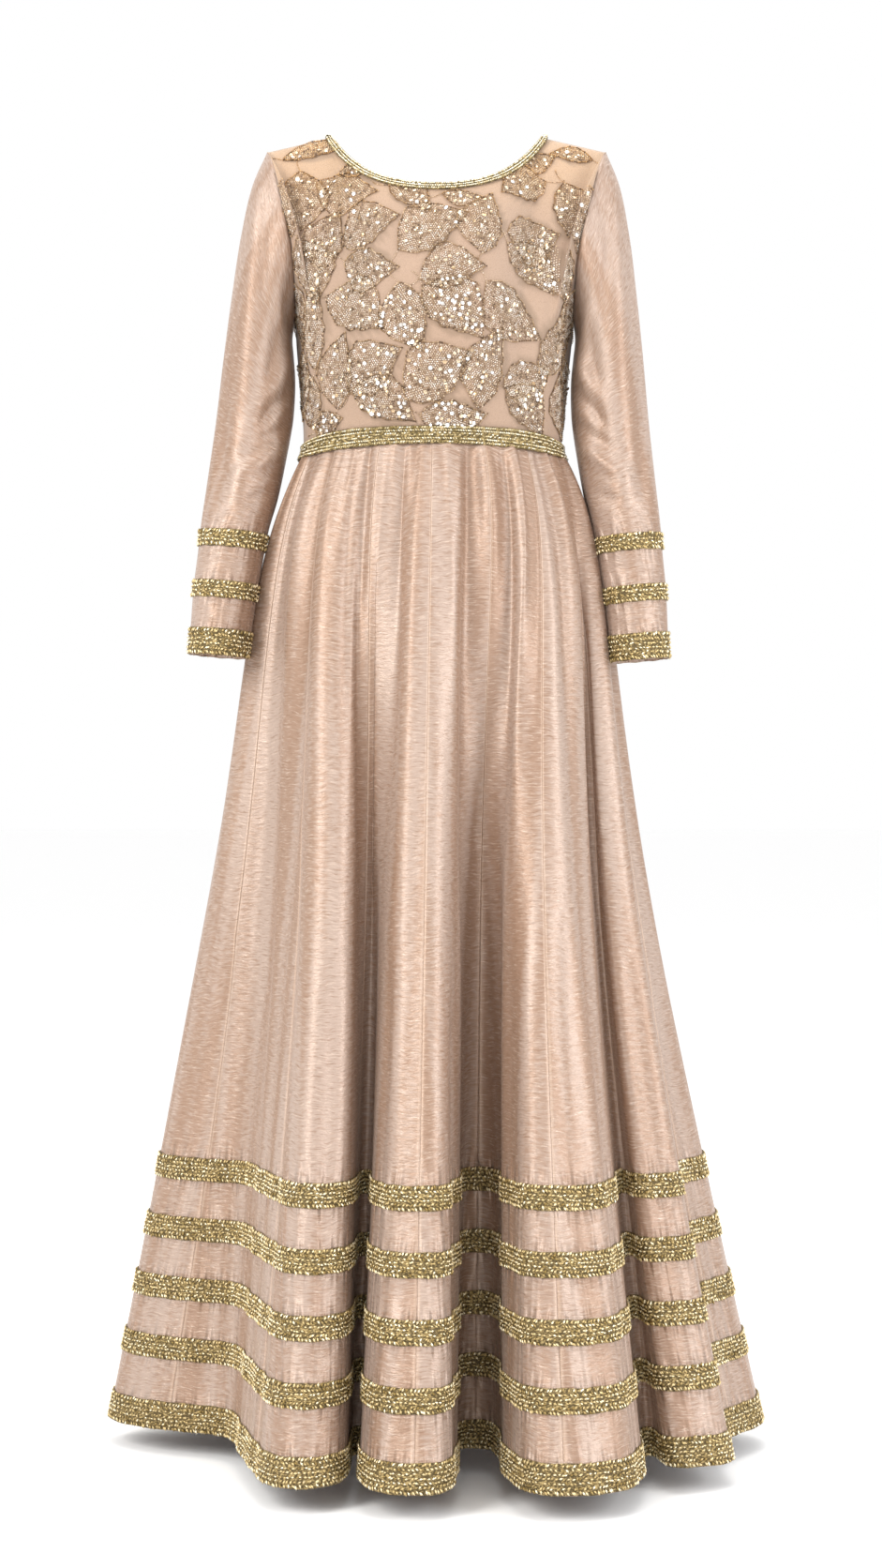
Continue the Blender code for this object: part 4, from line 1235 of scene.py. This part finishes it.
SleeveBand = namedtuple("SleeveBand", "name top foot")
SLEEVE_BANDS = (
    SleeveBand("band_1", "band 1 top", "band 1 foot"),
    SleeveBand("band_2", "band 2 top", "band 2 foot"),
    SleeveBand("cuff", "cuff top", "cuff foot"),
)

# Creases of a sleeve: where each starts and ends, as the angle round from the outer edge over
# the front and the millimetres below the shoulder, its depth and its half width in millimetres
Crease = namedtuple("Crease", "from_angle from_drop to_angle to_drop depth width")
SLEEVE_CREASES = tuple(Crease(*row) for row in (
    (50, 40, 95, 190, -5.3, 8), (80, 70, 130, 215, 5.3, 9), (105, 75, 160, 190, -6.1, 7),
    (60, 120, 80, 300, 4.9, 13), (120, 200, 110, 330, -5.3, 10), (150, 235, 95, 300, 4.1, 8),
    (160, 262, 100, 318, -4.5, 7), (165, 300, 80, 350, -4.9, 9), (155, 330, 70, 372, 4.5, 8),
    (30, 250, 60, 420, -4.1, 12), (150, 380, 60, 405, -3.2, 7), (85, 350, 100, 430, 4.1, 12),
    (40, 455, 140, 470, -2.4, 6), (60, 510, 130, 520, 2.4, 6), (300, 60, 250, 200, -5.7, 9),
    (270, 100, 210, 230, 5.3, 9), (240, 160, 200, 300, -4.9, 9), (280, 280, 205, 330, -4.9, 8),
    (285, 320, 200, 368, 4.9, 9), (310, 240, 290, 420, 4.1, 13),
))


def sleeve_rings(side, angle):
    """Points of every ring of a sleeve at the given angles, from the armhole down."""
    angle = angle % math.tau
    facing = np.where(angle < math.pi, side, -side)
    armhole = armhole_point(np.minimum(angle, math.tau - angle), facing)
    armhole[..., 0] = armhole[..., 0] * side + SWAY * -armhole[..., 2] / WAIST_DROP
    rings = [armhole]
    swing = 0.0 if side > 0 else RIGHT_SWING
    lift = 0.0 if side > 0 else RIGHT_LIFT
    for ring in SLEEVE_RINGS:
        outer_drop = ring.outer_drop * (1 - lift)
        inner_drop = ring.inner_drop * (1 - lift)
        outer = np.array((side * (ring.outer_x + swing * outer_drop), -ring.forward, -outer_drop)) * MM
        inner = np.array((side * (ring.inner_x + swing * inner_drop), -ring.forward, -inner_drop)) * MM
        deep = stacked(0.0, side * ring.half_depth * MM * np.sin(angle), 0.0)
        rings.append((outer + inner) / 2 + (outer - inner) / 2 * np.cos(angle)[..., None] + deep)
    return np.stack(rings)


spine = sleeve_rings(1, np.linspace(0, math.tau, 17)[:-1]).mean(axis=1)
ring_marks = np.concatenate([[0.0], np.cumsum(np.linalg.norm(np.diff(spine, axis=0), axis=1))])
mark_of = dict(zip(["armhole"] + [ring.name for ring in SLEEVE_RINGS], ring_marks))


def sleeve_form(side, angle, run):
    """Points of a smooth sleeve: the angle round it and the run down it in metres."""
    angle, run = np.broadcast_arrays(angle * 1.0, run * 1.0)
    rings = sleeve_rings(side, angle)
    slopes = np.gradient(rings, ring_marks, axis=0)
    below = np.clip(np.searchsorted(ring_marks, run, side="right"), 1, len(ring_marks) - 1)
    span = ring_marks[below] - ring_marks[below - 1]
    t = ((run - ring_marks[below - 1]) / span)[..., None]

    def picked(table, row):
        return np.take_along_axis(table, row[None, ..., None], axis=0)[0]

    start, end = picked(rings, below - 1), picked(rings, below)
    leave, arrive = picked(slopes, below - 1) * span[..., None], picked(slopes, below) * span[..., None]
    return (start * (2 * t**3 - 3 * t**2 + 1) + leave * (t**3 - 2 * t**2 + t)
            + end * (3 * t**2 - 2 * t**3) + arrive * (t**3 - t**2))


MM_A_DEGREE = 0.7


def crease_depth(points, front_angle):
    """How far the creases stand out of a sleeve at points and angles over its front."""
    drop = -points[..., 2] / MM
    depth = 0.0
    for crease in SLEEVE_CREASES:
        dx = (crease.to_angle - crease.from_angle) * MM_A_DEGREE
        dy = crease.to_drop - crease.from_drop
        px = ((front_angle - crease.from_angle + 180) % 360 - 180) * MM_A_DEGREE
        py = drop - crease.from_drop
        run = (px * dx + py * dy) / (dx * dx + dy * dy)
        away = np.abs(px * dy - py * dx) / math.hypot(dx, dy)
        fade = np.sin(math.pi * np.clip(run, 0, 1)) ** 0.8
        depth = depth + crease.depth * MM * fade * np.exp(-((away / crease.width) ** 2))
    return depth


def sleeve_surface(side, angle, run, out=0.0):
    def form(across, down):
        return sleeve_form(side, across, down)

    _, along, normals = surface_frame(form, angle, np.clip(run, 0.002, ring_marks[-1] - 0.002), 0.03, 0.0015)
    points = sleeve_form(side, angle, run)
    front_angle = np.degrees(angle) * -side % 360
    depth = crease_depth(points, front_angle) + out
    return points + normals * depth[..., None], along, normals


SLEEVE_COLUMNS = 72
SLEEVE_PATTERN = 11.3
SLEEVE_PUCKER = 0.7
sleeve_runs = np.linspace(0.0, ring_marks[-1], 100)
for side, name in ((1, "sleeve_left"), (-1, "sleeve_right")):
    angles = np.arange(SLEEVE_COLUMNS) / SLEEVE_COLUMNS * math.tau
    puckers = puckered(sleeve_runs, [(mark_of[band.top], mark_of[band.foot]) for band in SLEEVE_BANDS])
    points, _, _ = sleeve_surface(side, angles[None, :], sleeve_runs[:, None])
    place = cloth_place(points, shift=SLEEVE_PATTERN + side, closed=True)
    tube = cloth(name + "_silk", points, place, rose_silk, {"pucker": SLEEVE_PUCKER * puckers[:, None]},
                 closed=True)
    worn(tube, name, "rose_silk", flat=(0.37, 0.56), held="hung", rests_on=["bodice_front"], area=0.125)

    for number, band in enumerate(SLEEVE_BANDS):
        top = mark_of[band.top]
        width = mark_of[band.foot] - top

        def ring_surface(share, height, out=GROUND_LIFT, side=side, foot=top + width):
            return sleeve_surface(side, share * math.tau, foot - height, out)

        length = length_round(ring_surface, width, 200)
        plait = PLAIT if band.name == "cuff" else PLAIT[:1] + PLAIT[2:4] + PLAIT[5:]
        base = braid_base(f"{name}_{band.name}_ground", ring_surface, 96, width)
        stitches = braid_stitches(f"{name}_{band.name}_stitches", partial(ring_surface, out=STITCH_LIFT),
                                  int(length / STITCH_PITCH), plait, width, olive_gold,
                                  50 + 10 * number + side)
        sewn_on(base, stitches, f"{name}_{band.name}", flat=(length, width), rests_on=[name])
